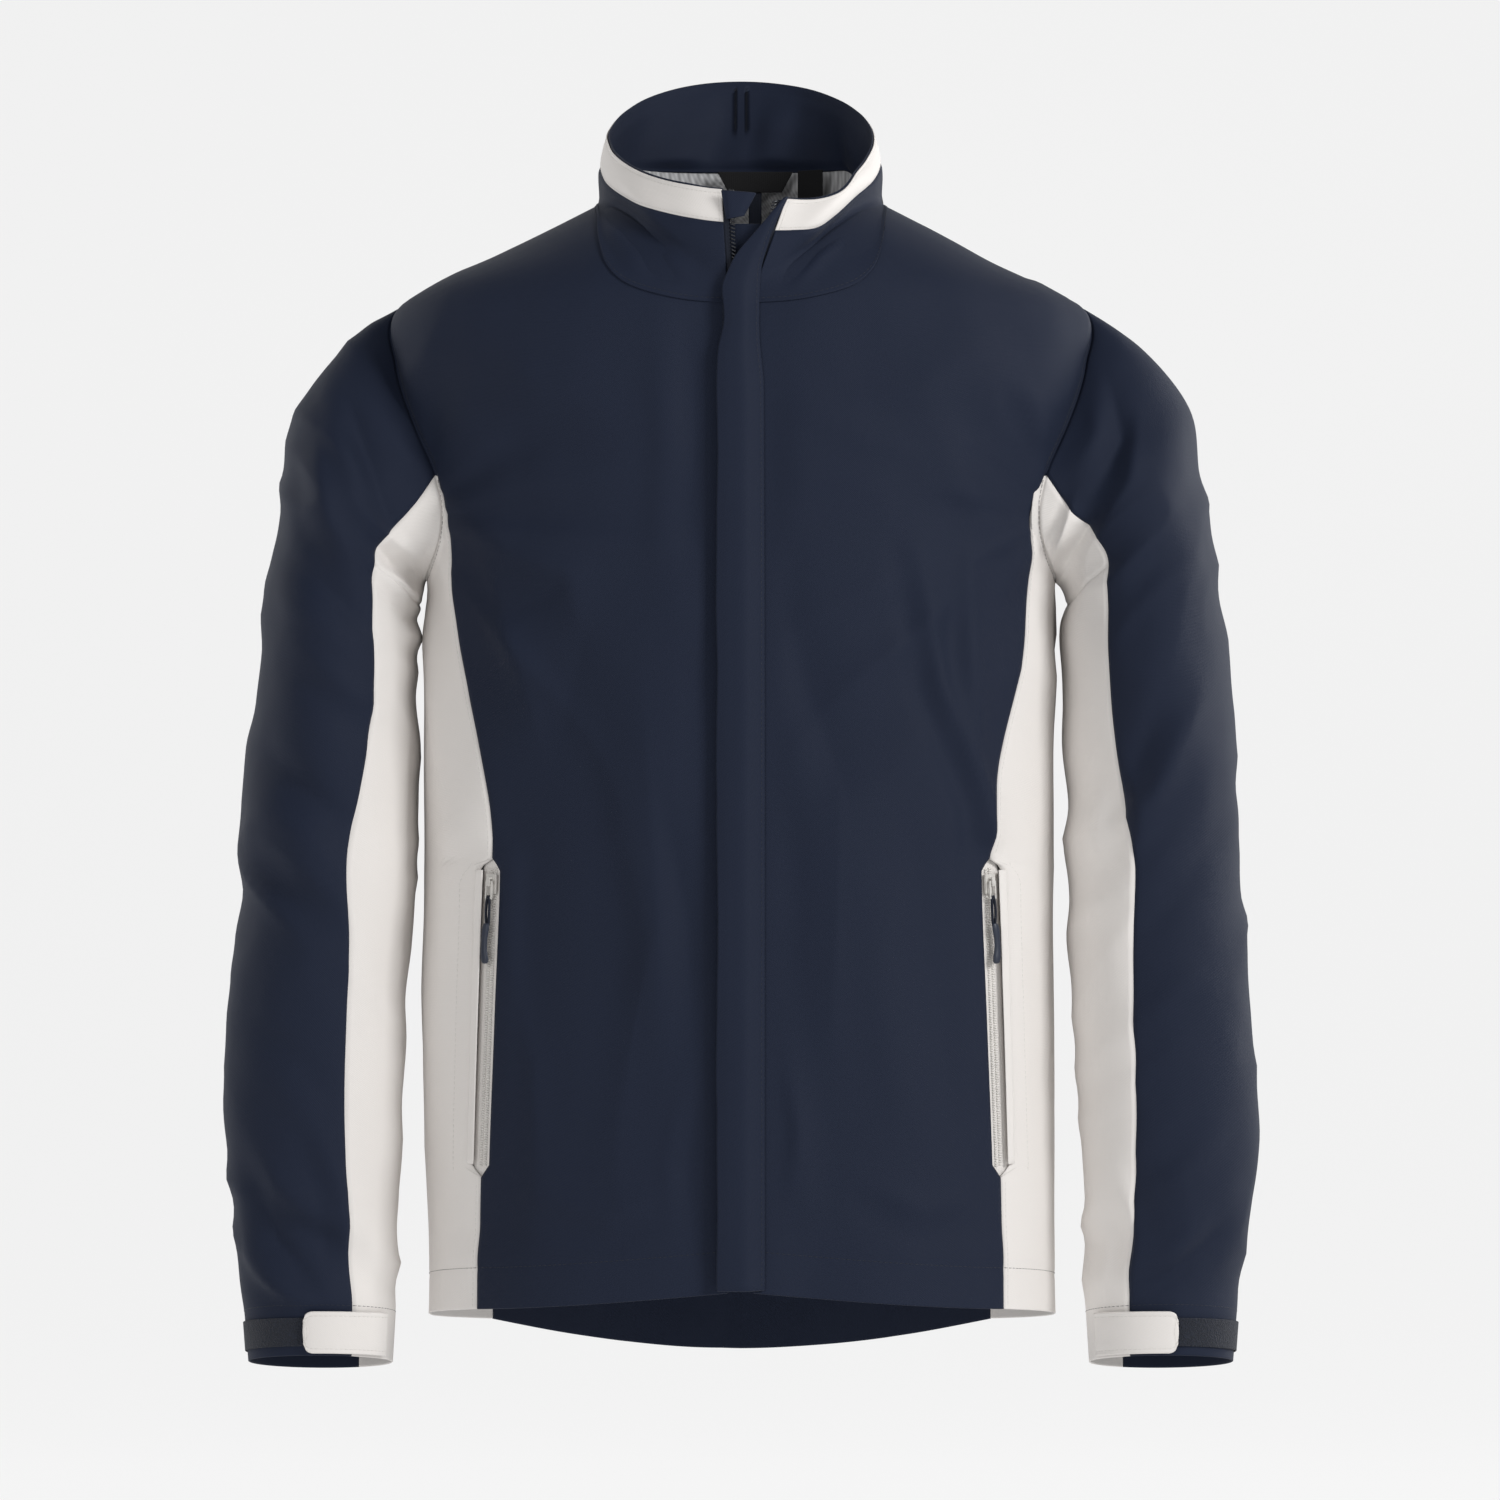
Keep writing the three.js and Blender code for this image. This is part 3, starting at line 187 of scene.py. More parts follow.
ARMHOLE_MIDDLE = (SHOULDER_DROP + UNDERARM_DROP) / 2
ARMHOLE_RISE = (UNDERARM_DROP - SHOULDER_DROP) / 2


def armhole_point(angle, side):
    """Angle 0 is the shoulder point, 90 the front, 180 the underarm."""
    c, s = np.cos(np.radians(angle)), np.sin(np.radians(angle))
    return body_by_y(-ARMHOLE_HALF * s * (1 - 0.6 * c), ARMHOLE_MIDDLE - ARMHOLE_RISE * c, side)


def armhole_half(drop, back):
    angle = np.degrees(np.arccos(np.clip((ARMHOLE_MIDDLE - drop) / ARMHOLE_RISE, -1, 1)))
    return np.abs(armhole_point(360 - angle if back else angle, 1)[..., 0])


PANEL_DROP = ARMHOLE_MIDDLE - ARMHOLE_RISE * math.cos(math.radians(PANEL_ANGLE))


def side_seam(under, below, back):
    start = CHEST_HALF - float(armhole_half(PANEL_DROP, back))
    return curve([
        (PANEL_DROP, start),
        (PANEL_DROP + 22, under),
        (PANEL_DROP + 60, below),
        (PANEL_DROP + 100, 20),
        (PANEL_DROP + 135, 27),
        (PANEL_DROP + 195, 41),
        (POCKET_TOP - 5, 44),
        ((POCKET_TOP + POCKET_BOTTOM) / 2, 40.5),
        (POCKET_BOTTOM + 5, 37),
        (SIDE_HEM, 36),
    ])


SEAMS = (side_seam(14.5, 16, False), side_seam(5, 12, True))


def seam_half(drop, back=False):
    return CHEST_HALF - SEAMS[int(back)](drop)


# ---------- noise and folds ----------
LATTICE = np.random.RandomState(11).uniform(-1, 1, (24, 24, 24))


def noise(p, scale):
    """Smooth seeded noise from -1 to 1; scale is the size of its lumps along x, y and z."""
    q = np.asarray(p, float) / np.asarray(scale, float) + 400
    cell = np.floor(q).astype(int)
    t = q - cell
    t = t * t * (3 - 2 * t)
    total = 0
    for corner in np.ndindex(2, 2, 2):
        weight = np.prod([t[..., k] if corner[k] else 1 - t[..., k] for k in range(3)], 0)
        total = total + weight * LATTICE[tuple((cell[..., k] + corner[k]) % 24 for k in range(3))]
    return total


def fold(p, line, width, height, hollow=0.55):
    """A soft ridge along a line of (x, z) points seen from the front, with a hollow along its lower side.
    A negative height makes a crease with a ridge beside it."""
    x, z = p[..., 0], p[..., 2]
    nearest, lift = np.full(x.shape, 1e9), np.zeros(x.shape)
    lengths = [math.dist(a, b) for a, b in zip(line, line[1:])]
    total, run = sum(lengths), 0.0
    for (ax, az), (bx, bz), length in zip(line, line[1:], lengths):
        ux, uz = (bx - ax) / length, (bz - az) / length
        along = np.clip((x - ax) * ux + (z - az) * uz, 0, length)
        dx, dz = x - ax - along * ux, z - az - along * uz
        away = np.hypot(dx, dz)
        across = (dx * uz - dz * ux) / width
        share = (run + along) / total
        taper = np.sin(np.pi * np.clip(share * 0.92 + 0.04, 0, 1)) ** 0.7
        ends = np.exp(-((away / width) ** 1.25) * 1.2)
        past = np.maximum(0, away / width - 1.5)
        shape = ends - hollow * np.exp(-((across - 1.5) ** 2)) * np.exp(-(past**2))
        closer = away < nearest
        lift = np.where(closer, height * shape * taper, lift)
        nearest = np.minimum(nearest, away)
        run += length
    return lift


def creases(p, slant, width, length):
    """Sharp-crested folds that run slant mm down for each mm towards the side."""
    out, drop = np.abs(p[..., 0]), -p[..., 2]
    across, along = drop - slant * out, out + slant * drop
    across, along = across / math.hypot(1, slant), along / math.hypot(1, slant)
    half = np.where(p[..., 0] < 0, 7, 0) + p[..., 1] / 110
    return 0.5 - 2 * np.abs(noise(np.stack([across / width, along / length, half], -1), 1))


UNDER_THE_ARM = (205, 225)  # half width and drop of the point that the folds below run from


def radiating(p):
    """Folds that run out over the body from under the arms."""
    over, down = UNDER_THE_ARM[0] - np.abs(p[..., 0]), -p[..., 2] - UNDER_THE_ARM[1]
    reach, way = np.hypot(over, down), np.degrees(np.arctan2(down, over))
    half = np.where(p[..., 0] < 0, 5, 0) + np.where(p[..., 1] < 0, 2, 0)
    crest = 0.5 - 2 * np.abs(noise(np.stack([way / 15, reach / 150, half], -1), 1))
    return 3.4 * crest * smooth(reach / 70) * smooth((360 - reach) / 260)


# Folds of the front, as (points seen from the front, width, height). Right is the wearer's right.
FRONT_FOLDS = (
    ([(-176, -214), (-140, -250), (-104, -262), (-96, -300)], 20, 3.4),
    ([(-94, -290), (-112, -372), (-128, -430), (-140, -560)], 26, -3.6),
    ([(-60, -330), (-52, -430), (-46, -540)], 24, 2.2),
    ([(-158, -244), (-132, -330), (-120, -380)], 16, 2.4),
    ([(-30, -110), (-26, -190), (-30, -260)], 13, -2.4),
    ([(-48, -400), (-30, -480), (-22, -560)], 16, -2.2),
    ([(-150, -470), (-128, -560), (-122, -640)], 14, 1.6),
    ([(108, -250), (122, -330), (150, -400), (163, -512), (168, -590)], 9, 3.6),
    ([(140, -250), (142, -330), (146, -372)], 8, 2.2),
    ([(30, -240), (24, -280), (40, -330), (66, -400)], 22, -2.6),
    ([(140, -170), (168, -212), (188, -236)], 15, -3.2),
    ([(176, -150), (190, -186), (194, -206)], 9, 2.2),
    ([(60, -380), (58, -470), (54, -560)], 24, 2.0),
    ([(104, -420), (118, -520), (132, -610)], 20, -1.8),
    ([(26, -560), (34, -600), (28, -650)], 9, 1.8),
    ([(-20, -575), (-30, -620), (-26, -660)], 9, -1.6),
    ([(70, -630), (110, -650), (150, -640)], 10, 1.2),
    ([(-130, -640), (-80, -652), (-50, -640)], 10, 1.2),
    ([(-150, -120), (-120, -150), (-70, -160)], 22, 1.8),
    ([(150, -118), (110, -150), (60, -158)], 22, 1.6),
)
BACK_FOLDS = (
    ([(-150, -200), (-100, -300), (-70, -420)], 24, 3.4),
    ([(152, -196), (108, -310), (80, -430)], 24, 3.0),
    ([(-40, -150), (-10, -260), (-16, -400)], 30, -2.6),
    ([(-120, -420), (-70, -560), (-50, -700)], 26, 2.8),
    ([(120, -440), (84, -560), (62, -700)], 26, 2.6),
    ([(20, -430), (8, -560), (14, -710)], 28, -2.6),
    ([(-170, -260), (-140, -380), (-150, -520)], 18, 2.0),
    ([(170, -270), (146, -390), (152, -520)], 18, 2.0),
    ([(-60, -60), (-100, -110), (-160, -140)], 14, 1.6),
    ([(60, -60), (100, -112), (158, -140)], 14, 1.6),
)
SLEEVE_FOLDS = {
    "right": (
        ([(-244, -150), (-226, -200), (-214, -236)], 9, -3.4),
        ([(-262, -180), (-252, -230), (-232, -262)], 12, 3.2),
        ([(-284, -250), (-250, -276), (-222, -300)], 12, -3.6),
        ([(-276, -300), (-244, -330), (-216, -352)], 11, 2.8),
        ([(-304, -366), (-270, -392), (-236, -420)], 14, -3.4),
        ([(-296, -420), (-262, -446), (-240, -470)], 12, 2.6),
        ([(-300, -540), (-270, -560), (-244, -590)], 14, -2.2),
        ([(-302, -640), (-286, -672), (-256, -706)], 10, -4.2),
        ([(-292, -628), (-270, -650), (-240, -664)], 9, 3.0),
        ([(-300, -690), (-276, -706), (-250, -712)], 7, 2.6),
        ([(-262, -600), (-246, -640), (-240, -690)], 8, 1.8),
        ([(-222, -244), (-205, -262), (-190, -262)], 6, -4.5),
        ([(-214, -262), (-200, -276), (-188, -290)], 6, 4.0),
    ),
    "left": (
        ([(226, -136), (236, -176), (214, -214)], 9, -3.2),
        ([(246, -160), (240, -205), (220, -236)], 9, 3.0),
        ([(284, -330), (262, -380), (238, -440)], 12, 4.0),
        ([(300, -420), (276, -452), (246, -480)], 14, -3.0),
        ([(232, -370), (246, -408), (240, -450)], 10, 2.4),
        ([(300, -520), (268, -548), (240, -560)], 15, -2.2),
        ([(298, -610), (262, -636), (236, -650)], 10, 3.0),
        ([(300, -664), (270, -690), (238, -706)], 9, -3.4),
        ([(232, -630), (244, -670), (240, -712)], 8, 2.2),
        ([(292, -230), (272, -270), (262, -330)], 16, 2.4),
        ([(216, -226), (206, -244), (196, -262)], 6, -4.0),
        ([(206, -214), (200, -236), (190, -250)], 5, 3.0),
    ),
}


def middle_hold(p):
    """0 along the front opening, where the zip holds the cloth, and 1 away from it."""
    return np.where(p[..., 1] < 0, smooth((np.abs(p[..., 0]) - 16) / 26), 1)


def pocket_hold(p):
    """Small beside the pockets' openings, where the tape holds the cloth, and 1 away from them."""
    drop = -p[..., 2]
    along = smooth((drop - 420) / 18) * smooth((682 - drop) / 22)
    across = 1 - smooth((np.abs(np.abs(p[..., 0]) - 156) - 11) / 22)
    return 1 - 0.95 * along * across * (p[..., 1] < 0)


DEEPEST_HOLLOW = 4.2  # keeps the shell clear of the pocket bags and lining behind it
FRONT_FOLD_STRENGTH, SLEEVE_FOLD_STRENGTH = 1.9, 1.5
SLEEVE_BENDS = ((235, 60), (420, 70), (672, 42))  # drop and half length: armhole, elbow, above the cuff


def torso_lift(p):
    """How far the cloth of the body stands out of the plain surface."""
    ahead = smooth((30 - p[..., 1]) / 60)
    lift = 3.6 * noise(p, (120, 150, 230)) + 1.5 * noise(p, (48, 60, 110)) + 0.4 * noise(p, (20, 20, 34))
    lift = lift + radiating(p) + 1.5 * creases(p, 6.0, 44, 190) * smooth((-p[..., 2] - 380) / 150)
    for line, width, height in FRONT_FOLDS:
        lift = lift + FRONT_FOLD_STRENGTH * ahead * fold(p, line, width, height)
    for line, width, height in BACK_FOLDS:
        lift = lift + (1 - ahead) * fold(p, line, width, height)
    lift = lift * smooth((-p[..., 2] - 40) / 70) * middle_hold(p) * pocket_hold(p)
    return np.where(lift < 0, -DEEPEST_HOLLOW * np.tanh(-lift / DEEPEST_HOLLOW), lift)


def sleeve_lift(p, name, facing):
    """The same for a sleeve; facing is 1 where the cloth faces the front and 0 where it faces the
    back. The cloth lies flat under the cuff's loop strip."""
    lift = 2.4 * noise(p, (70, 90, 150)) + 1.4 * noise(p, (36, 44, 60)) + 0.45 * noise(p, (18, 18, 22))
    drop = -p[..., 2]
    bent = sum(np.exp(-(((drop - at) / wide) ** 2)) for at, wide in SLEEVE_BENDS)
    lift = lift + (1.0 + 2.6 * bent) * creases(p, -0.9, 24, 90) * smooth((750 - drop) / 30)
    for line, width, height in SLEEVE_FOLDS[name]:
        lift = lift + SLEEVE_FOLD_STRENGTH * smooth(facing * 1.5) * fold(p, line, width, height)
        mirrored = [(x, z - 26) for x, z in line]
        lift = lift + smooth(1 - facing * 1.5) * fold(p, mirrored, width * 1.2, height * 0.8)
    return lift * (1 - 0.92 * smooth((drop - 696) / 26))


# ---------- cloth from grids ----------
def edge_distances(grid):
    """Distance along the cloth to the first and last column and row."""
    across = np.linalg.norm(np.diff(grid, axis=1), axis=2)
    down = np.linalg.norm(np.diff(grid, axis=0), axis=2)
    left = np.concatenate([np.zeros((len(grid), 1)), np.cumsum(across, 1)], 1)
    top = np.concatenate([np.zeros((1, grid.shape[1])), np.cumsum(down, 0)], 0)
    return {"left": left, "right": left[:, -1:] - left, "top": top, "bottom": top[-1:] - top}


def seam_roll(p, distances, seams, pucker=0.5):
    """Cloth turns in at a seam and puckers along it."""
    lift = np.zeros(p.shape[:2])
    for edge in seams:
        away = distances[edge]
        lift -= 1.1 * np.exp(-((away / 1.5) ** 2))
        lift += pucker * noise(p, (9, 9, 9)) * np.exp(-away / 8) * (1 - np.exp(-away / 1.5))
    return lift


def stitched(distances, edge, at, depth=0.45):
    """The shallow channel that a row of stitches pulls into the cloth."""
    return -depth * np.exp(-(((distances[edge] - at) / 1.3) ** 2))


def spread(length, step, close=(0.8, 1.8, 3.4)):
    """Shares from 0 to 1 in even steps, with a few close ones at both ends."""
    near = [c / length for c in close if c < length / 3]
    even = np.linspace(0, 1, max(2, round(length / step)) + 1)
    return np.array(sorted({*near, *(1 - n for n in near), *even}))


def rim_order(shape):
    """Indices of a grid's edge, in the order in which sheet_mesh goes round it."""
    index = np.arange(shape[0] * shape[1]).reshape(shape[:2])
    return np.concatenate([index[0, :-1], index[:-1, -1], index[-1, :0:-1], index[:0:-1, 0]])


def sheet_mesh(outer, inner, bulge):
    """Vertices and faces of a closed sheet between two grids, with a rounded edge."""
    rows, columns = outer.shape[:2]
    index = np.arange(rows * columns).reshape(rows, columns)
    corners = [index[:-1, :-1], index[:-1, 1:], index[1:, 1:], index[1:, :-1]]
    face = np.stack([c.ravel() for c in corners], 1)
    rim = rim_order(outer.shape)
    r, c = rim // columns, rim % columns
    inward = np.clip(r, 1, rows - 2) * columns + np.clip(c, 1, columns - 2)
    flat_outer, flat_inner = outer.reshape(-1, 3), inner.reshape(-1, 3)
    middle = (flat_outer[rim] + flat_inner[rim]) / 2
    middle += unit(flat_outer[rim] - flat_outer[inward]) * bulge
    count, ring = rows * columns, np.arange(len(rim))
    after = np.roll(ring, -1)
    band_out = np.stack([rim, rim[after], 2 * count + after, 2 * count + ring], 1)
    band_in = np.stack([2 * count + ring, 2 * count + after, count + rim[after], count + rim], 1)
    a, b, d = flat_outer[face[:, 0]], flat_outer[face[:, 1]], flat_outer[face[:, 3]]
    out = np.einsum("ij,ij->i", np.cross(b - a, d - a), flat_outer[face[:, 0]] - flat_inner[face[:, 0]]).sum()
    if out > 0:
        faces = [face, face[:, ::-1] + count, band_out[:, ::-1], band_in[:, ::-1]]
    else:
        faces = [face[:, ::-1], face + count, band_out, band_in]
    return np.concatenate([flat_outer, flat_inner, middle]), np.concatenate(faces), rim


def new_mesh(name, points, faces, finish, smooth_shaded=True):
    mesh = bpy.data.meshes.new(name)
    mesh.from_pydata([tuple(p) for p in points], [], [tuple(int(i) for i in f) for f in faces])
    mesh.polygons.foreach_set("use_smooth", [smooth_shaded] * len(mesh.polygons))
    mesh.materials.append(finish)
    made = bpy.data.objects.new(name, mesh)
    bpy.context.scene.collection.objects.link(made)
    return made


def cloth(name, grid, normals, finish, thick=CLOTH, depth=0.0, bulge=0.3):
    """A closed sheet of cloth whose outer face is a grid moved in by depth. Its UV map is in metres."""
    outer = grid - normals * depth
    inner = outer - normals * thick
    points, faces, rim = sheet_mesh(outer, inner, bulge)
    made = new_mesh(name, placed(points), faces, finish)
    distances = edge_distances(grid)
    middle = grid.shape[1] // 2
    u = distances["left"] - distances["left"][:, middle : middle + 1]
    v = np.broadcast_to(distances["top"][:, middle : middle + 1], u.shape)
    flat = np.stack([u.ravel(), -v.ravel()], 1) / 1000
    flat = np.concatenate([flat, flat, flat[rim]])
    loops = np.zeros(len(made.data.loops), int)
    made.data.loops.foreach_get("vertex_index", loops)
    layer = made.data.uv_layers.new(name="cloth")
    layer.data.foreach_set("uv", flat[loops].ravel())
    return made


def weigh(made, weights):
    """Bakes a piece's place in the frame into its mesh; its weights, one for each vertex, are not used."""
    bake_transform(made)


def weigh_sheet(made, weights):
    """The same for a sheet, given a weight for each point of its grid."""
    flat = weights.ravel()
    weigh(made, np.concatenate([flat, flat, flat[rim_order(weights.shape)]]))


def grid_area(grid):
    a, b, c = grid[:-1, :-1], grid[:-1, 1:], grid[1:, :-1]
    return np.linalg.norm(np.cross(b - a, c - a), axis=-1).sum() / 1e6


def declare(flat, grid):
    """Works out a panel's area, held between 0.3 and 1 times that of flat = (width, length) in metres; the
    value is not kept.
    """
    whole = flat[0] * flat[1]
    max(min(grid_area(grid), whole), 0.3 * whole)


# ---------- materials ----------
class Shade:
    """A socket in a material's node tree. Arithmetic on it adds Math nodes, node() adds any other."""

    def __init__(self, tree, socket=None):
        self.tree, self.socket = tree, socket

    def feed(self, into, value):
        if isinstance(value, Shade):
            self.tree.links.new(value.socket, into)
        else:
            into.default_value = value

    def node(self, kind, settings=None, inputs=None, out=0):
        made = self.tree.nodes.new("ShaderNode" + kind)
        for key, value in (settings or {}).items():
            if key == "stops":
                self.set_stops(made.color_ramp, value)
            else:
                setattr(made, key, value)
        for key, value in (inputs or {}).items():
            self.feed(made.inputs[key], value)
        return Shade(self.tree, made.outputs[out])

    @staticmethod
    def set_stops(ramp, stops):
        while len(ramp.elements) < len(stops):
            ramp.elements.new(0.5)
        for element, (position, grey) in zip(ramp.elements, stops):
            element.position = position
            element.color = (grey, grey, grey, 1)

    def math(self, operation, a, b=0.0):
        return self.node("Math", {"operation": operation}, {0: a, 1: b})

    def __add__(self, other):
        return self.math("ADD", self, other)

    def __sub__(self, other):
        return self.math("SUBTRACT", self, other)

    def __rsub__(self, other):
        return self.math("SUBTRACT", other, self)

    def __mul__(self, other):
        return self.math("MULTIPLY", self, other)

    def __truediv__(self, other):
        return self.math("DIVIDE", self, other)

    def __pow__(self, other):
        return self.math("POWER", self, other)

    __radd__, __rmul__ = __add__, __mul__

    def above(self, level):
        return self.math("GREATER_THAN", self, level)

    def sine(self):
        return self.math("SINE", self)

    def mix(self, low, high):
        """A colour from low to high by this value."""
        return self.node("Mix", {"data_type": "RGBA"}, {"Factor": self, 6: low, 7: high}, out=2)


def finish(name, roughness, metallic=0.0, **constants):
    """A new material as (material, its node maker, its shader). Constants are set on the shader."""
    made = bpy.data.materials.new(name)
    made.use_nodes = True
    tree = made.node_tree
    shader = tree.nodes["Principled BSDF"]
    shader.inputs["Roughness"].default_value = roughness
    shader.inputs["Metallic"].default_value = metallic
    for key, value in constants.items():
        shader.inputs[key.replace("_", " ")].default_value = value
    return made, Shade(tree), shader


def tone(colour, factor):
    return tuple(min(1.0, c * factor) for c in colour[:3]) + (1,)


def cloth_coordinates(maker):
    uv = maker.node("TexCoord", out=2)
    split = maker.node("SeparateXYZ", inputs={0: uv})
    return uv, split, Shade(maker.tree, split.socket.node.outputs[1])


def bump(maker, shader, height, strength, distance):
    normal = maker.node("Bump", inputs={"Strength": strength, "Distance": distance, "Height": height})
    maker.feed(shader.inputs["Normal"], normal)


def woven(name, colour, pitch=0.0011, twill=1.0, relief=0.5, contrast=0.16, roughness=0.72, sheen=0.03):
    """Woven cloth: a twill of warp and weft threads, with slubs and a soft change of tone."""
    made, maker, shader = finish(name, roughness, Sheen_Weight=sheen, Sheen_Roughness=0.45,
                                 Specular_IOR_Level=0.22)
    uv, across, down = cloth_coordinates(maker)
    turns = 2 * math.pi / pitch
    warp = ((across + twill * down) * turns).sine()
    weft = ((down - 0.35 * across) * (turns * 1.15)).sine()
    weave = 0.5 + 0.3 * warp + 0.2 * weft
    slub = maker.node("TexNoise", inputs={"Vector": uv, "Scale": 900.0, "Detail": 3.0, "Roughness": 0.6})
    cloud = maker.node("TexNoise", inputs={"Vector": uv, "Scale": 14.0, "Detail": 2.0})
    mottle = 0.45 * weave + 0.4 * slub + 0.15 * cloud
    threads = mottle.mix(tone(colour, 1 - contrast), tone(colour, 1 + contrast))
    maker.feed(shader.inputs["Base Color"], threads)
    maker.feed(shader.inputs["Roughness"], roughness - 0.06 + 0.12 * slub)
    bump(maker, shader, weave + 0.8 * slub, relief, 0.0002)
    return made


def knitted(name, colour, pitch=0.0032):
    """Lining mesh: rows of small round holes on a slant."""
    made, maker, shader = finish(name, 0.8, Sheen_Weight=0.2)
    _, across, down = cloth_coordinates(maker)
    turns = 2 * math.pi / pitch
    slant = ((across + down) * turns).sine()
    rise = ((across - down) * (turns * 0.5)).sine()
    holes = 0.5 + 0.25 * slant + 0.25 * rise
    maker.feed(shader.inputs["Base Color"], holes.mix(tone(colour, 0.55), tone(colour, 1.12)))
    bump(maker, shader, holes, 0.6, 0.0005)
    return made


def hooked(name, colour):
    """Hook and loop: a rough pile of small tufts."""
    made, maker, shader = finish(name, 0.9, Sheen_Weight=0.06)
    uv, _, _ = cloth_coordinates(maker)
    tufts = maker.node("TexVoronoi", inputs={"Vector": uv, "Scale": 900.0, "Randomness": 1.0})
    fuzz = maker.node("TexNoise", inputs={"Vector": uv, "Scale": 1600.0, "Detail": 3.0})
    pile = 0.7 * tufts + 0.5 * fuzz
    maker.feed(shader.inputs["Base Color"], pile.mix(tone(colour, 0.4), tone(colour, 1.3)))
    bump(maker, shader, pile, 1.0, 0.0009)
    return made


def cast(name, colour, metallic, roughness, coat=0.0):
    """Lacquered or moulded: fine orange peel and slight wear in the tone."""
    made, maker, shader = finish(name, roughness, metallic, Coat_Weight=coat)
    at = maker.node("TexCoord", out=3)
    peel = maker.node("TexNoise", inputs={"Vector": at, "Scale": 1400.0, "Detail": 2.0})
    wear = maker.node("TexNoise", inputs={"Vector": at, "Scale": 260.0, "Detail": 4.0})
    maker.feed(shader.inputs["Base Color"], wear.mix(tone(colour, 0.82), tone(colour, 1.15)))
    maker.feed(shader.inputs["Roughness"], roughness - 0.08 + 0.16 * wear)
    bump(maker, shader, peel, 0.25, 0.0001)
    return made


NAVY = (0.0068, 0.0118, 0.0290)
STONE = (0.72, 0.69, 0.665)
navy = woven("navy_cloth", NAVY)
stone = woven("stone_cloth", STONE, contrast=0.04, relief=0.35)
stone_tape = woven("stone_tape", STONE, pitch=0.0022, twill=0.0, contrast=0.1)
mesh_grey = knitted("lining_mesh", (0.46, 0.46, 0.47))
tape_navy = woven("navy_tape", (0.009, 0.012, 0.022), pitch=0.002, twill=0.0, contrast=0.3)
label_black = woven("label_satin", (0.006, 0.006, 0.007), pitch=0.0012, twill=0.0, contrast=0.4)
pile_navy = hooked("hook_and_loop", (0.0075, 0.0105, 0.02))
teeth_navy = cast("moulded_teeth", (0.008, 0.01, 0.016), 0.0, 0.35)
teeth_stone = cast("coil_teeth", (0.7, 0.68, 0.65), 0.0, 0.4)
dark_metal = cast("dark_lacquer", (0.03, 0.034, 0.044), 0.85, 0.35)
light_metal = cast("light_lacquer", (0.66, 0.64, 0.61), 0.35, 0.35, coat=0.3)
grip_navy = cast("moulded_grip", (0.012, 0.018, 0.036), 0.0, 0.42)
thread_navy = cast("navy_thread", (0.008, 0.011, 0.02), 0.0, 0.6)
thread_stone = cast("stone_thread", (0.62, 0.6, 0.57), 0.0, 0.6)

# ---------- body panels ----------
GRID_STEP = 4.0


def top_drop(x, back):
    """The panels' top edge over a half width x: the neck seam, then the shoulder seam."""
    x = np.asarray(x, float)
    lean = np.degrees(np.arcsin(np.clip(x / NECK_HALF, 0, 1)))
    neck = -neck_point(180 - lean if back else lean, 1)[..., 2]
    low, high = np.full(x.shape, float(NECK_SIDE_DROP)), np.full(x.shape, float(SHOULDER_DROP))
    return np.where(x < NECK_HALF, neck, halved(low, high, lambda middle: half_width(middle) < x))


def panel_rows(hem):
    """Drops of the rows along the outer edge. They are close at the shoulder, where the cloth turns over."""
    over = [SHOULDER_DROP + (y / 100) ** SUPER / 0.03 for y in range(0, 60, 5)]
    count = round((hem - over[-1]) / GRID_STEP)
    down = np.linspace(over[-1], hem, count + 1)[1:]
    close = [hem - c for c in (0.8, 1.8, 3.4)]
    return np.array(sorted({*over, *down, *close}))


def pocket_window(drop):
    """1 beside the pocket's opening and 0 away from it."""
    return smooth((drop - POCKET_TOP + 2) / 4) * smooth((POCKET_BOTTOM + 2 - drop) / 4)


def panel_grid(start, side, back):
    hem, middle_hem = (BACK_SIDE_HEM, BACK_HEM) if back else (SIDE_HEM, FRONT_HEM)
    rows = panel_rows(hem)[:, None]
    first = math.degrees(math.asin(start / NECK_HALF))
    neck = NECK_HALF * np.sin(np.radians(lerp(first, 90, np.linspace(0, 1, 26))))
    shoulder = NECK_HALF + (SHOULDER_HALF - NECK_HALF) * spread(SHOULDER_HALF - NECK_HALF, GRID_STEP)[1:]
    edge = start + np.array([0.8, 1.8])
    tops = np.array(sorted({*neck, *shoulder, *edge}))[None, :]
    share = (rows - SHOULDER_DROP) / (hem - SHOULDER_DROP)
    middle = lerp(float(top_drop(start, back)), middle_hem, share)
    fade = np.maximum(0, 1 - (rows - SHOULDER_DROP) / 200) ** 2
    across = (tops - start) / (SHOULDER_HALF - start)
    rise = top_drop(tops, back) - lerp(float(top_drop(start, back)), SHOULDER_DROP, across)
    drop = lerp(middle, rows, across ** (1 + share * back)) + rise * fade
    seam = np.where(rows < PANEL_DROP, armhole_half(rows, back), seam_half(rows, back))
    if not back:
        seam = seam - POCKET_SLOT_HALF * pocket_window(rows)
    grid = body_by_x(side * lerp(start, seam, across), drop, back)
    over = tops[0] >= NECK_HALF
    grid[0, over] = np.stack([side * tops[0, over], 0 * tops[0, over], -drop[0, over]], -1)
    return grid


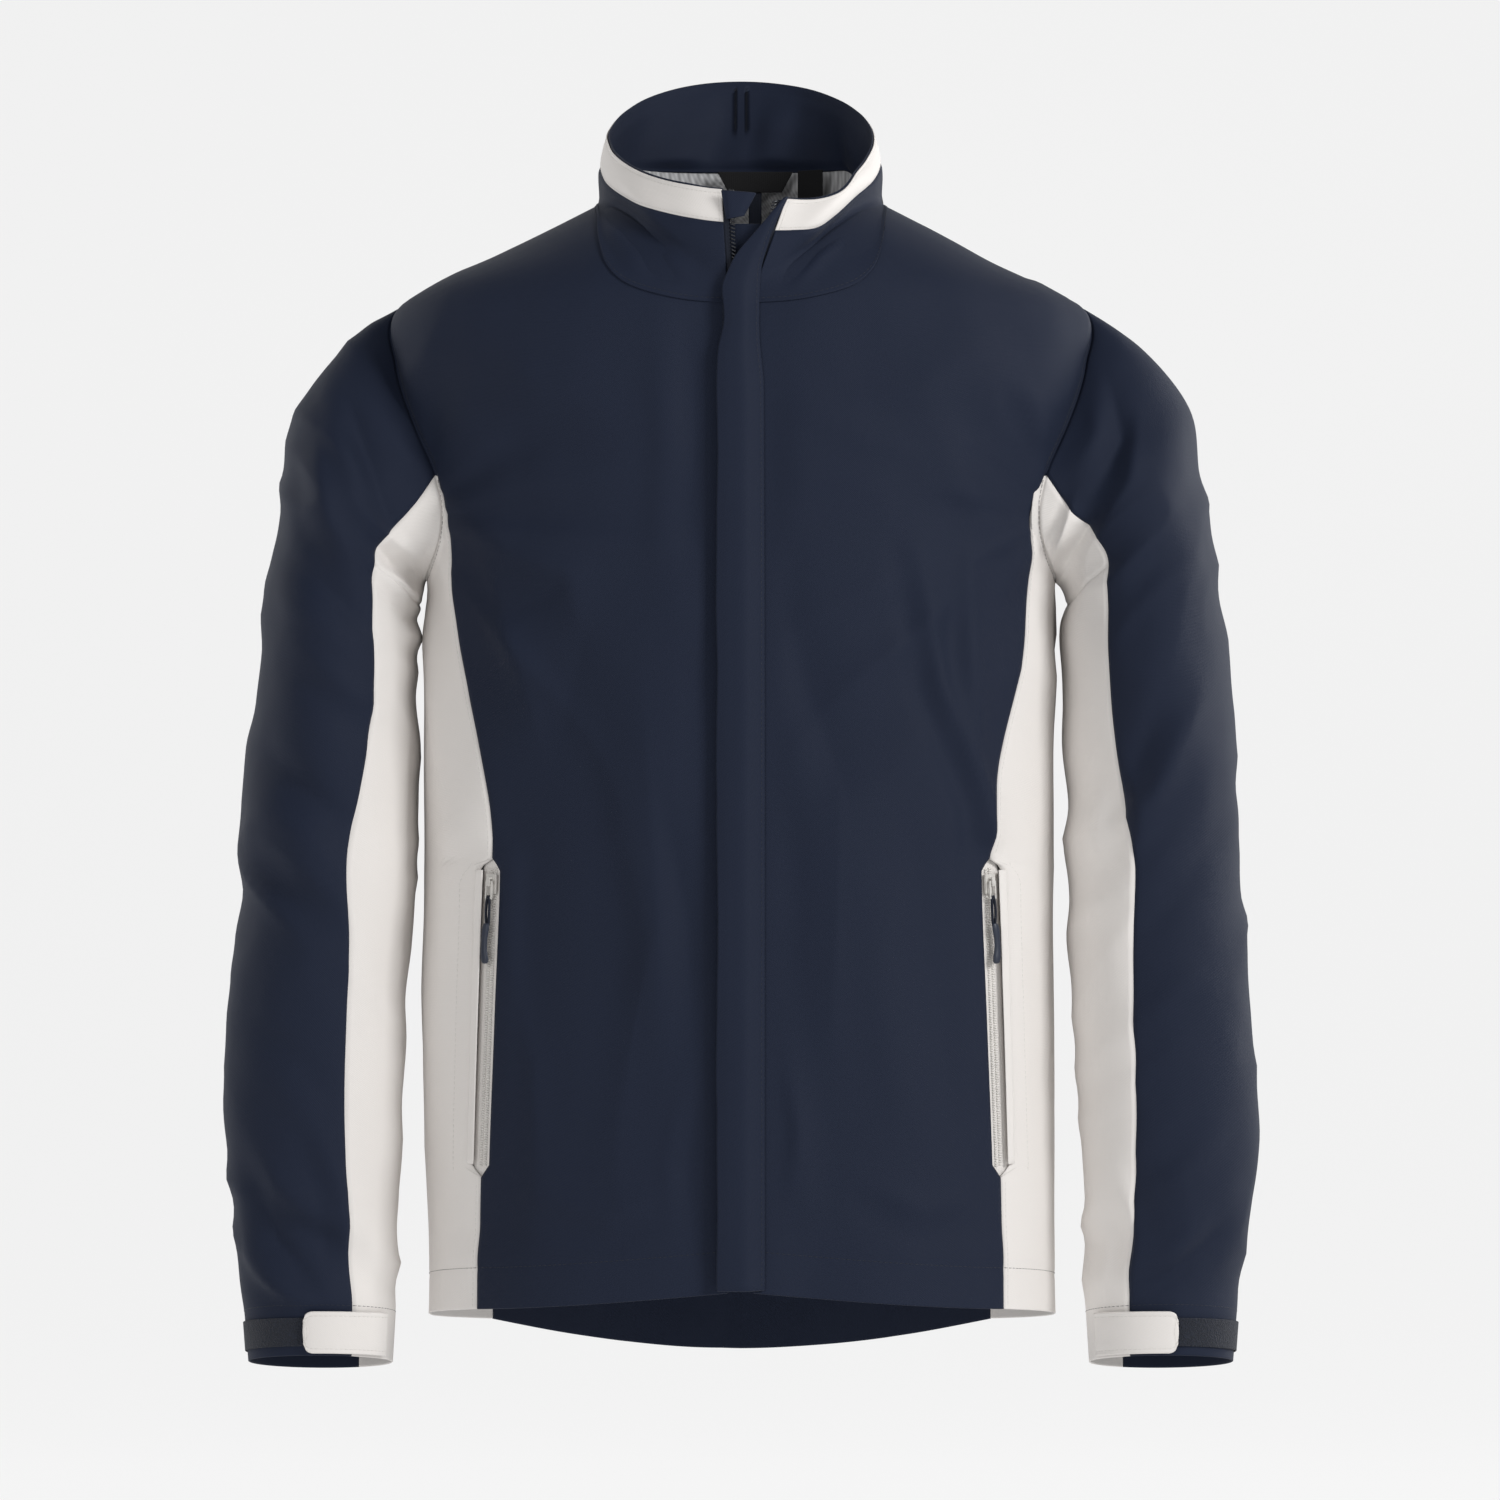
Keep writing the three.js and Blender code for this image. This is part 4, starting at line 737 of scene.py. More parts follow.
def side_grid(side):
    rows = spread(BACK_SIDE_HEM - PANEL_DROP, GRID_STEP)[:, None]
    across = spread(120, GRID_STEP)[None, :]
    top = armhole_point(lerp(PANEL_ANGLE, 360 - PANEL_ANGLE, across), side)
    top_y, top_z = top[..., 1], -top[..., 2]
    drop = lerp(top_z, lerp(SIDE_HEM, BACK_SIDE_HEM, across), rows)

    def line(at):
        ahead = body_by_x(seam_half(at), at, False)[..., 1]
        behind = body_by_x(seam_half(at, True), at, True)[..., 1]
        slot = POCKET_SLOT_HALF * 1.25 * pocket_window(at) * (1 - across)
        return lerp(ahead, behind, across) + slot

    pull = (top_y - line(top_z)) * np.maximum(0, 1 - rows * 4) ** 2
    return body_by_y(line(drop) + pull, drop, side)


def sewn(grid, seams, armhole, pucker=0.5):
    """A body panel's grid with its folds, seams and hem worked in, and its normals. armhole names the
    edges whose upper part is sewn to a sleeve."""
    normals = body_normal(grid)
    distances = edge_distances(grid)
    below = np.maximum(0, -grid[..., 2] - PANEL_DROP)
    held = np.minimum.reduce([np.hypot(distances[edge], below if edge != "top" else 0) for edge in armhole])
    lift = torso_lift(grid) * smooth(held / 18) + seam_roll(grid, distances, seams, pucker)
    near = distances["bottom"]
    lift += stitched(distances, "bottom", HEM_TURN)
    lift += 0.5 * noise(grid, (12, 12, 30)) * np.exp(-(((near - HEM_TURN) / 9) ** 2))
    lift += 1.4 * noise(grid, (46, 46, 400)) * np.exp(-near / 60) * middle_hold(grid)
    return grid + normals * lift[..., None], normals


def sew_on(name, grid, normals, finish_, slot, replaced, flat=None, held="stretched",
           body="garment", **shape):
    """A sheet of cloth that rides on a body and stands for a CAD node, which it hides. With flat, its area is
    worked out.
    """
    made = cloth(name, grid, normals, finish_, **shape)
    if flat:
        declare(flat, grid)
    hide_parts(replaced)
    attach(made, body)


def back_grid():
    half = panel_grid(0, 1, True)
    other = half[:, :0:-1] * (-1, 1, 1)
    return np.concatenate([other, half], 1)


panels = {}
for name, side in SIDES:
    grid, normals = sewn(panel_grid(ZIP_HALF_SLOT, side, False), ("right", "top"), ("right",))
    panels[f"front_{name}"] = grid, normals
    sew_on(f"front_panel_cloth_{name}", grid, normals, navy, "navy_shell", f"front_panel_{name}",
           (0.215, 0.69), "hung")
    grid, normals = sewn(side_grid(side), ("left", "right", "top"), ("top",))
    panels[f"side_{name}"] = grid, normals
    sew_on(f"side_panel_cloth_{name}", grid, normals, stone, "stone_shell", f"side_panel_{name}",
           (0.19, 0.55), "hung")
grid, normals = sewn(back_grid(), ("left", "right", "top"), ("left", "right"))
panels["back"] = grid, normals
sew_on("back_panel_cloth", grid, normals, navy, "navy_shell", "back_panel", (0.46, 0.8), "hung")

# ---------- sleeves ----------
GUSSET_STATION, LAST_STATION, CUFF_TILT = 4, 15, 8.5
# Stand of the outer line past the shoulder point and its drop, stand of the inner line past the chest
# and its drop, half depth, middle ahead of the shoulder line, angle to the seam of the two panels.
STATIONS = np.array([
    [0, 0, 0, 263, ARMHOLE_HALF, 0, PANEL_ANGLE],
    [24, 14, 1, 265, 59, 0, 114],
    [49, 39, 1.5, 267, 67, 0, 118],
    [68, 68, 2, 270, 73, 0, 118],
    [75, 106, 2.5, 279, 77, 0, 115.6],
    [81, 148, 3, 296, 79, 1, 119],
    [87, 193, 3.5, 325, 79.5, 2, 120],
    [92, 243, 4, 362, 78, 4, 120],
    [96.5, 293, 4.5, 402, 75.5, 7, 114],
    [100.5, 343, 5, 445, 72.5, 10, 106],
    [104, 393, 7, 490, 69, 15, 111],
    [107, 448, 10, 543, 64.5, 21, 113],
    [109.5, 508, 12.5, 600, 59, 27, 114.5],
    [105, 563, 15, 655, 52, 31, 116.5],
    [97, 613, 17, 705, 46.5, 34, 119],
    [93, 658, 19.5, 750, 44, 36, 120],
])
station = [curve(list(zip(range(len(STATIONS)), column))) for column in STATIONS.T]


def sleeve_oval(at, angle):
    c, s = np.cos(np.radians(angle)), np.sin(np.radians(angle))
    outer_x, outer_drop = SHOULDER_HALF + station[0](at), SHOULDER_DROP + station[1](at)
    inner_x, inner_drop = CHEST_HALF + station[2](at), station[3](at)
    x = (outer_x + inner_x) / 2 + (outer_x - inner_x) / 2 * c
    z = -(outer_drop + inner_drop) / 2 + (inner_drop - outer_drop) / 2 * c
    return np.stack(np.broadcast_arrays(x, -station[5](at) - station[4](at) * s, z), -1)


def sleeve_point(at, angle, side):
    """Angle 0 is the outer line, 90 the front, 180 the inner line."""
    at, angle = np.broadcast_arrays(np.asarray(at, float), np.asarray(angle, float))
    p = sleeve_oval(at, angle)
    fade = np.maximum(0, 1 - at / GUSSET_STATION) ** 2
    p = p + (armhole_point(angle % 360, 1) - sleeve_oval(np.zeros_like(at), angle)) * fade[..., None]
    near_cuff = np.maximum(0, 1 - (LAST_STATION - at) / 3)
    p[..., 2] += CUFF_TILT * near_cuff * np.sin(np.radians(angle))
    p[..., 0] *= side
    return p


def slid_angle(at, angle):
    """Column angles are set at the armhole and slide round so that the panel seam stays a column."""
    turned = angle % 360
    wrapped = np.where(turned > 180, 360 - turned, turned)
    seam = station[6](at)
    upper = wrapped / PANEL_ANGLE * seam
    lower = lerp(seam, 180, (wrapped - PANEL_ANGLE) / (180 - PANEL_ANGLE))
    slid = np.where(wrapped < PANEL_ANGLE, upper, lower)
    return np.where(turned > 180, 360 - slid, slid)


def sleeve_normal(at, angle, side):
    low, high = np.maximum(at - 0.05, 0), np.minimum(at + 0.05, LAST_STATION)
    down = sleeve_point(high, angle, side) - sleeve_point(low, angle, side)
    round_ = sleeve_point(at, angle + 1, side) - sleeve_point(at, angle - 1, side)
    normal = unit(np.cross(down, round_))
    away = sleeve_point(at, angle, side) - sleeve_point(at, angle + 180, side)
    turned = np.where(np.einsum("...i,...i->...", normal, away) < 0, -1, 1)
    return normal * turned[..., None]


def sleeve_reach(at, angle, side):
    """How far down the sleeve's cloth a point lies from the armhole."""
    steps = np.linspace(0, 1, 25)[:, None, None]
    line = sleeve_point(steps * at, angle, side)
    return np.linalg.norm(np.diff(line, axis=0), axis=-1).sum(0)


def sleeve_weights(at, angle, side):
    """0 at the armhole, rising to 1 down the sleeve. The rise is longest at the underarm."""
    low = smooth(0.5 - 0.5 * np.cos(np.radians(angle)))
    return smooth(sleeve_reach(at, angle, side) / lerp(130, 210, low))


def armhole_allowance(angles, side):
    """The edge of the sleeve's cloth that is turned in under the body at the armhole."""
    seam = armhole_point(angles % 360, side)
    normal = body_normal(seam)
    away = seam * (0, 1, 1) + (0, 0, ARMHOLE_MIDDLE)
    away = unit(away - normal * np.einsum("...i,...i->...", away, normal)[..., None])
    return seam + away * 5 - normal * 2, normal


CUFF_CHANNEL, CUFF_STITCHES = 22, 31  # above the sleeve's edge


def sleeve_panel(name, side, stations, angles, seams, finish_, label, flat):
    at, columns = stations[:, None], angles[None, :]
    turned = slid_angle(at, columns)
    plain = sleeve_point(at, turned, side)
    normals = sleeve_normal(at, turned, side)
    distances = edge_distances(plain)
    lift = sleeve_lift(plain, name, -normals[..., 1]) * smooth((at - 0.1) / 1.2)
    lift += seam_roll(plain, distances, seams, 0.45)
    if "bottom" not in seams:
        lift += stitched(distances, "bottom", CUFF_CHANNEL, 0.35)
    grid = plain + normals * lift[..., None]
    weights = np.broadcast_to(sleeve_weights(at, turned, side), grid.shape[:2])
    if stations[0] == 0:
        edge, edge_normals = armhole_allowance(columns, side)
        grid = np.concatenate([edge, grid])
        normals = np.concatenate([edge_normals, normals])
        weights = np.concatenate([0 * weights[:1], weights])
    made = cloth(f"{label}_cloth_{name}", grid, normals, finish_)
    declare(flat, grid)
    weigh_sheet(made, weights)
    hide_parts(f"{label}_{name}")
    panels[f"{label}_{name}"] = grid, normals


def stations_between(low, high, per_station=9):
    even = np.linspace(low, high, (high - low) * per_station + 1)
    close = [0.02, 0.05, 0.1]
    return np.array(sorted({*even, *(low + c for c in close), *(high - c for c in close)}))


UPPER_ANGLES = 360 + (2 * spread(330, GRID_STEP) - 1) * PANEL_ANGLE
UNDER_ANGLES = PANEL_ANGLE + (360 - 2 * PANEL_ANGLE) * spread(170, GRID_STEP)
for name, side in SIDES:
    sleeve_panel(name, side, stations_between(0, LAST_STATION), UPPER_ANGLES, ("left", "right", "top"),
                 navy, "upper_sleeve", (0.37, 0.71))
    sleeve_panel(name, side, stations_between(0, GUSSET_STATION, 14), UNDER_ANGLES,
                 ("left", "right", "top", "bottom"), stone, "underarm_gusset", (0.2, 0.085))
    sleeve_panel(name, side, stations_between(GUSSET_STATION, LAST_STATION), UNDER_ANGLES,
                 ("left", "right", "top"), stone, "under_sleeve", (0.2, 0.52))

# ---------- collar ----------
NECK_START = math.degrees(math.asin(ZIP_HALF_SLOT / NECK_HALF))
collar_sag = curve([(0, 0.5), (19, 0.65), (26, 0.8), (36, 1), (46, 0.92), (58, 0.46), (70, 0.27),
                    (90, 0), (180, 0)])
COLLAR_SHOULDER = 15  # height of the top edge over the shoulder


def collar_top(angle, side):
    back = angle > 90
    y = -np.where(back, COLLAR_BACK[0], COLLAR_FRONT[0]) * np.cos(np.radians(angle))
    toward = np.where(y > 0, y / COLLAR_BACK[0], -y / COLLAR_FRONT[0])
    sag = np.where(side > 0, COLLAR_SAG * collar_sag(angle), 0)
    z = lerp(COLLAR_SHOULDER, np.where(y > 0, COLLAR_BACK[1], COLLAR_FRONT[1]), toward) - sag
    return np.stack([side * COLLAR_HALF * np.sin(np.radians(angle)), y - sag * 0.8, z], -1)


def collar_point(angle, up, side):
    """The stand of the collar over the neck seam, up 0 (seam) to 1 (top edge)."""
    angle, up, side = np.broadcast_arrays(*(np.asarray(a, float) for a in (angle, up, side)))
    end = np.where(side > 0, COLLAR_END_LEFT, COLLAR_END_RIGHT)
    top_start = np.degrees(np.arcsin(end / COLLAR_HALF))
    top_angle = lerp(top_start, 180, (angle - NECK_START) / (180 - NECK_START))
    base = neck_point(angle, side)
    p = lerp(base, collar_top(top_angle, side), up[..., None])
    out = unit(np.stack([p[..., 0], p[..., 1], 0 * up], -1))
    return p + out * (2.5 * np.sin(np.pi * up))[..., None]


COLLAR_FOLDS = (
    ([(-80, -30), (-66, -52), (-48, -76)], 7, -4.2),
    ([(-72, -22), (-52, -44), (-34, -60)], 8, 3.2),
    ([(-60, -62), (-44, -70), (-30, -80)], 6, 2.0),
    ([(84, -20), (60, -46), (38, -74)], 6.5, -3.6),
    ([(74, -14), (52, -36), (34, -56)], 7, 3.0),
    ([(62, -56), (48, -68), (34, -86)], 5, 2.6),
)


def collar_parts(count=150):
    """Angles and sides from the wearer's right end round the back to the left end."""
    half = lerp(NECK_START, 180, spread(260, 260 / count * 2))
    angles = np.concatenate([half, half[-2::-1]])
    return angles, np.concatenate([-np.ones(len(half)), np.ones(len(half) - 1)])


COLLAR_ANGLES, COLLAR_SIDES = collar_parts()
COLLAR_LENGTHS = np.linalg.norm(
    collar_point(COLLAR_ANGLES, 1, COLLAR_SIDES) - collar_point(COLLAR_ANGLES, 0, COLLAR_SIDES), axis=-1)


def collar_grid(ups):
    """Rows up the collar; ups are functions of the collar's length that give heights of 0 to 1."""
    return np.stack([collar_point(COLLAR_ANGLES, up(COLLAR_LENGTHS), COLLAR_SIDES) for up in ups])


def grid_normals(grid, outward):
    down, round_ = np.gradient(grid, axis=0), np.gradient(grid, axis=1)
    normal = unit(np.cross(down, round_))
    turned = np.where(np.einsum("...i,...i->...", normal, outward) < 0, -1, 1)
    return normal * turned[..., None]


def from_axis(grid):
    return grid * (1, 1, 0)


def collar_folds(grid):
    ahead = smooth((20 - grid[..., 1]) / 50)
    lift = 1.1 * noise(grid, (34, 40, 40)) + 0.5 * noise(grid, (16, 16, 22))
    for line, width, height in COLLAR_FOLDS:
        lift = lift + ahead * fold(grid, line, width, height)
    return lift


def even_rows(low, high, count):
    """Rows between two heights, each a function of the collar's length, with close ones at both ends."""
    shares = spread(count * GRID_STEP, GRID_STEP)
    return [lambda length, t=t: lerp(low(length), high(length), t) for t in shares]


def seam_foot(length):
    return 0 * length


def band_foot(length):
    return 1 - BAND_HEIGHT / length


def top_edge(length):
    return 0 * length + 1


# The collar's foot lies on the body down to its stitched edge, given by half width and drop at an angle.
base_half = curve([(0, 0), (5, 9), (15, 31), (30, 54), (45, 71), (60, 81.5), (72, 86.5), (82, 89),
                   (90, 90.5)])
base_drop = curve([(0, 97.5), (15, 95.5), (30, 91), (45, 84.5), (60, 74), (72, 60), (82, 43), (90, 31)])


BASE_STITCHES = 2.6  # up from the collar's lower edge


def collar_foot(up):
    """Points from the stitched edge (up 0) to the neck seam (up 1), over the body panels' cloth."""
    seam = neck_point(COLLAR_ANGLES, COLLAR_SIDES)
    half = lerp(base_half(COLLAR_ANGLES), np.abs(seam[:, 0]), up)
    ahead = body_by_x(COLLAR_SIDES * half, lerp(base_drop(COLLAR_ANGLES), -seam[:, 2], up), False)
    normal = body_normal(seam)
    away = unit(seam * (1, 1, 0) - normal * np.einsum("ij,ij->i", seam * (1, 1, 0), normal)[:, None])
    behind = seam + away * 4 * (1 - up)
    p = np.where((COLLAR_ANGLES <= 90)[:, None], ahead, behind)
    return p + body_normal(p) * (torso_lift(p) + 1.15)[:, None]


def outer_collar():
    """The collar's outer cloth: its foot on the body and its stand up to the band, eased into one."""
    low = [collar_foot(up) for up in (0, 0.03, 0.07, 0.13, 0.25, 0.4, 0.55, 0.7, 0.85)]
    plain = np.concatenate([low, collar_grid(even_rows(seam_foot, band_foot, 18)[1:])])
    for _ in range(26):
        eased = plain.copy()
        eased[1:-1] = (plain[:-2] + 2 * plain[1:-1] + plain[2:]) / 4
        row = np.arange(len(plain))[:, None, None]
        hold = smooth((row - 1) / 4) * smooth((22 - row) / 6)
        plain = lerp(plain, eased, hold)
    normals = grid_normals(plain, from_axis(plain) + (0, 0, 40))
    distances = edge_distances(plain)
    lift = collar_folds(plain) * smooth(distances["top"] / 14)
    lift += seam_roll(plain, distances, ("bottom",), 0.35)
    lift += stitched(distances, "top", BASE_STITCHES, 0.4)
    grid = plain + normals * lift[..., None]
    sew_on("collar_cloth", grid, normals, navy, "navy_shell", "collar_outer", (0.62, 0.13), "folded")
    return grid, normals


outer_grid, outer_normals = outer_collar()


def collar_band():
    """The light band along the top of the collar, stitched along both edges."""
    plain = collar_grid(even_rows(band_foot, top_edge, 6))
    normals = grid_normals(plain, from_axis(plain))
    distances = edge_distances(plain)
    lift = collar_folds(plain) + seam_roll(plain, distances, ("top",), 0.35)
    for edge, at in (("top", 2.2), ("bottom", 2.4)):
        lift += stitched(distances, edge, at, 0.35)
    grid = plain + normals * lift[..., None]
    sew_on("collar_band_cloth", grid, normals, stone, "stone_shell", "collar_band", (0.56, 0.022), "folded",
           bulge=0.45)
    return grid, normals


band_grid, band_normals = collar_band()

NECK_LEVEL = -1  # height at which the collar's inner face ends behind the neck


def level_share(angle, side, level):
    """How far up the collar a height lies."""
    low, high = collar_point(angle, 0, side)[..., 2], collar_point(angle, 1, side)[..., 2]
    return (level - low) / (high - low)


def inner_foot(length):
    raised = level_share(COLLAR_ANGLES, COLLAR_SIDES, NECK_LEVEL)
    return lerp(-3 / length, raised, smooth((COLLAR_ANGLES - 100) / 30))


def inner_top(length):
    return 1 + 1.5 / length


def collar_lining():
    """The collar's inner face, gathered into upright folds behind the neck."""
    plain = collar_grid(even_rows(inner_foot, inner_top, 24))
    normals = grid_normals(plain, from_axis(plain))
    distances = edge_distances(plain)
    ends = np.minimum(distances["left"], distances["right"])
    depth = lerp(2.8, 1.0, smooth(1 - distances["bottom"] / 12) * smooth((ends - 10) / 12))
    behind = smooth((plain[..., 1] + 30) / 50)
    slanted = plain + np.array([1, 0, 0]) * (0.45 * plain[..., 2:] * np.tanh((plain[..., :1] - 45) / 60))
    gather = noise(slanted, (21, 40, 150))
    down = smooth(distances["bottom"] / 34) * smooth(distances["top"] / 7)
    depth = depth + behind * down * 5 * (1 + np.tanh(gather / 0.75))
    lift = collar_folds(plain) + stitched(distances, "bottom", 2.5, 0.35) - depth
    grid = plain + normals * lift[..., None]
    sew_on("collar_inner_cloth", grid, normals, navy, "navy_shell", "collar_inner", (0.56, 0.115), "folded",
           thick=1.0, bulge=0.5)


collar_lining()


# ---------- lining ----------
def thinned(grid):
    rows, columns = (sorted({*range(0, n, 2), n - 1}) for n in grid.shape[:2])
    return grid[rows][:, columns]


def raised_at_neck(grid):
    """Adds rows to the back lining that carry it up behind the foot of the collar's inner face."""
    top = grid[0]
    across = np.clip(np.abs(top[:, 0]) / NECK_HALF, 0, 1)
    angle, side = 180 - np.degrees(np.arcsin(across)), np.where(top[:, 0] < 0, -1, 1)
    share = np.maximum(0, level_share(angle, side, NECK_LEVEL + 4))
    rows = []
    for up in (1, 0.5, 0):
        point = collar_point(angle, share * up, side)
        rows.append(np.where((across < 1)[:, None], point - unit(from_axis(point)) * 2.4, top))
    return np.concatenate([rows, grid[1:]])


def lined(name, grid, flat, rise=False):
    """Mesh lining under a body panel, ending above the hem's facing."""
    grid = thinned(grid)
    distances = edge_distances(grid)
    grid = grid[: int((distances["bottom"].min(1) > 55).sum())]
    normals = body_normal(grid)
    near = edge_distances(grid)["top"]
    depth = lerp(2.2, LINING_DEPTH, smooth(near / 14)) - 1.4 * noise(grid, (60, 60, 120)) * smooth(near / 30)
    grid = grid - normals * np.minimum(depth, LINING_DEPTH)[..., None]
    if rise:
        grid = raised_at_neck(grid)
        normals = np.concatenate([normals[:1], normals[:1], normals])
    sew_on(f"{name}_cloth", grid, normals, mesh_grey, "lining_mesh", name, flat, "hung", thick=0.6)


PLACKET_HALF = 16
for name, side in SIDES:
    lined(f"front_lining_{name}", panel_grid(PLACKET_HALF + 3, side, False), (0.2, 0.64))
    lined(f"side_lining_{name}", side_grid(side), (0.19, 0.5))
lined("back_lining", back_grid(), (0.44, 0.74), True)


# ---------- frames on the pieces ----------
def local(origin, along, out):
    """A frame on a piece: s runs along it, b across it and n out of it."""
    return {"o": np.asarray(origin, float), "s": along, "b": unit(np.cross(along, out)), "n": out}


def in_frame(f, s, b, n):
    s, b, n = np.broadcast_arrays(*(np.asarray(v, float) for v in (s, b, n)))
    return f["o"] + s[..., None] * f["s"] + b[..., None] * f["b"] + n[..., None] * f["n"]


def flat_normals(grid, normal):
    return np.broadcast_to(normal, grid.shape)


FRONT_TOP = np.array([0, -NECK_FRONT_DEPTH, -NECK_FRONT_DROP], float)
FRONT_DOWN = unit(np.array([0, -FRONT_LEAN, -1.0]))
FRONT_OUT = unit(np.array([0, -1.0, FRONT_LEAN]))
FRONT_RUN = (FRONT_HEM - NECK_FRONT_DROP) * math.hypot(1, FRONT_LEAN)
ZIP_END, BOX_LENGTH, SLIDER_START = FRONT_RUN - 8, 12, 3
front = local(FRONT_TOP, FRONT_DOWN, FRONT_OUT)


# ---------- small hard shapes, each modelled once ----------
def modelled(shape):
    """Runs the modelling of one shape in mm at the origin and returns its vertices and faces."""
    bpy.ops.object.select_all(action="DESELECT")
    shape()
    made = bpy.context.active_object
    points = np.array([made.matrix_world @ v.co for v in made.data.vertices])
    faces = [tuple(f.vertices) for f in made.data.polygons]
    bpy.data.objects.remove(made)
    return points, faces


def in_edit_mode(work):
    bpy.ops.object.mode_set(mode="EDIT")
    bpy.ops.mesh.select_mode(type="VERT")
    bpy.ops.mesh.select_all(action="SELECT")
    work()
    bpy.ops.object.mode_set(mode="OBJECT")


def stitch_shape():
    """A stitch: a short thread along x, with its ends drawn in."""
    turned = (0, math.pi / 2, 0)
    bpy.ops.mesh.primitive_cylinder_add(vertices=6, radius=0.19, depth=2.4, rotation=turned)
    in_edit_mode(lambda: bpy.ops.mesh.bisect(plane_co=(-0.75, 0, 0), plane_no=(1, 0, 0)))
    in_edit_mode(lambda: bpy.ops.mesh.bisect(plane_co=(0.75, 0, 0), plane_no=(1, 0, 0)))
    made = bpy.context.active_object
    for v in made.data.vertices:
        v.select = abs((made.matrix_world @ v.co).x) > 1
    for face in made.data.polygons:
        face.select = all(made.data.vertices[i].select for i in face.vertices)
    bpy.ops.object.mode_set(mode="EDIT")
    bpy.ops.transform.resize(value=(1, 0.55, 0.55), center_override=(0, 0, -0.1))
    bpy.ops.object.mode_set(mode="OBJECT")


def bevelled_block(size, edge):
    def shape():
        bpy.ops.mesh.primitive_cube_add(size=1, scale=size)
        bpy.ops.object.transform_apply(location=False, rotation=False, scale=True)
        in_edit_mode(lambda: bpy.ops.mesh.bevel(offset=edge, affect="EDGES"))
    return shape


def select_where(made, chosen):
    """Selects the vertices that a test on their place picks, and the faces between them."""
    for v in made.data.vertices:
        v.select = bool(chosen(v.co))
    for e in made.data.edges:
        e.select = all(made.data.vertices[i].select for i in e.vertices)
    for face in made.data.polygons:
        face.select = all(made.data.vertices[i].select for i in face.vertices)


def tooth_shape():
    """A moulded zip tooth: a body on the tape, with a narrower neck and a head towards the middle."""
    bevelled_block((2.9, 1.5, 2.4), 0.22)()
    made = bpy.context.active_object
    in_edit_mode(lambda: bpy.ops.mesh.bisect(plane_co=(0.3, 0, 0), plane_no=(1, 0, 0)))
    select_where(made, lambda co: abs(co.x - 0.3) < 0.05)
    bpy.ops.object.mode_set(mode="EDIT")
    bpy.ops.transform.resize(value=(1, 0.62, 0.9), center_override=(0.3, 0, 0))
    bpy.ops.object.mode_set(mode="OBJECT")


GRIP_LENGTH = 25


def grip_shape():
    """The moulded grip along x: rounded, waisted, ribbed on one side and thicker at its free end."""
    turned, middle = (0, math.pi / 2, 0), (GRIP_LENGTH / 2, 0, 0)
    bpy.ops.mesh.primitive_cylinder_add(vertices=14, radius=3.0, depth=GRIP_LENGTH, location=middle,
                                        rotation=turned)
    bpy.ops.object.transform_apply(location=True, rotation=True, scale=True)
    made = bpy.context.active_object
    rings = np.arange(1, GRIP_LENGTH, 1.0)
    for at in rings:
        in_edit_mode(lambda: bpy.ops.mesh.bisect(plane_co=(at, 0, 0), plane_no=(1, 0, 0)))
    profile = curve([(0, 0.5), (1, 0.72), (4, 0.95), (10, 0.84), (16, 0.86), (21, 1.02), (24, 0.86),
                     (GRIP_LENGTH, 0.55)])
    for at in [0, *rings, GRIP_LENGTH]:
        rib = 1 - 0.1 * (int(at) % 2) * (3 < at < 21)
        size = float(profile(at))
        select_where(made, lambda co: abs(co.x - at) < 0.2)
        bpy.ops.object.mode_set(mode="EDIT")
        bend = 1.3 * math.sin(math.pi * at / GRIP_LENGTH)
        bpy.ops.transform.resize(value=(1, size * rib, size * 0.5), center_override=(float(at), 0, 0))
        bpy.ops.transform.translate(value=(0, bend, 0))
        bpy.ops.object.mode_set(mode="OBJECT")
    bpy.ops.object.modifier_add(type="SUBSURF")
    made.modifiers[-1].levels = made.modifiers[-1].render_levels = 1
    bpy.ops.object.modifier_apply(modifier=made.modifiers[-1].name)


STITCH, TOOTH, GRIP = modelled(stitch_shape), modelled(tooth_shape), modelled(grip_shape)
COIL = modelled(bevelled_block((2.3, 0.9, 2.2), 0.3))


def copies(name, shape, spots, finish_, body="garment"):
    """Copies of a shape, one for each (origin, x axis, y axis, z axis), as one piece."""
    points, faces = shape
    all_points = np.concatenate([o + points[:, :1] * x + points[:, 1:2] * y + points[:, 2:] * z
                                 for o, x, y, z in spots])
    count = len(points)
    all_faces = [[i + k * count for i in face] for k in range(len(spots)) for face in faces]
    made = new_mesh(name, placed(all_points), all_faces, finish_)
    if body:
        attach(made, body)
    return made


# ---------- stitching ----------
def seam_line(grid, normals, edge, at, keep=None):
    """Points and normals of a line that stands at mm in from an edge of a grid."""
    if edge in ("left", "right"):
        grid, normals = grid.transpose(1, 0, 2), normals.transpose(1, 0, 2)
    if edge in ("right", "bottom"):
        grid, normals = grid[::-1], normals[::-1]
    steps = np.linalg.norm(np.diff(grid, axis=0), axis=2)
    run = np.concatenate([np.zeros((1, grid.shape[1])), np.cumsum(steps, 0)])
    after, column = np.argmax(run > at, 0), np.arange(grid.shape[1])
    low, high = run[after - 1, column], run[after, column]
    t = ((at - low) / (high - low))[:, None]
    points = lerp(grid[after - 1, column], grid[after, column], t)
    outs = unit(lerp(normals[after - 1, column], normals[after, column], t))
    if keep is not None:
        chosen = keep(points)
        points, outs = points[chosen], outs[chosen]
    return points, outs


STITCH_PITCH, WIDEST_STEP = 3.3, 15  # a longer step between two points is a gap that isn't sewn


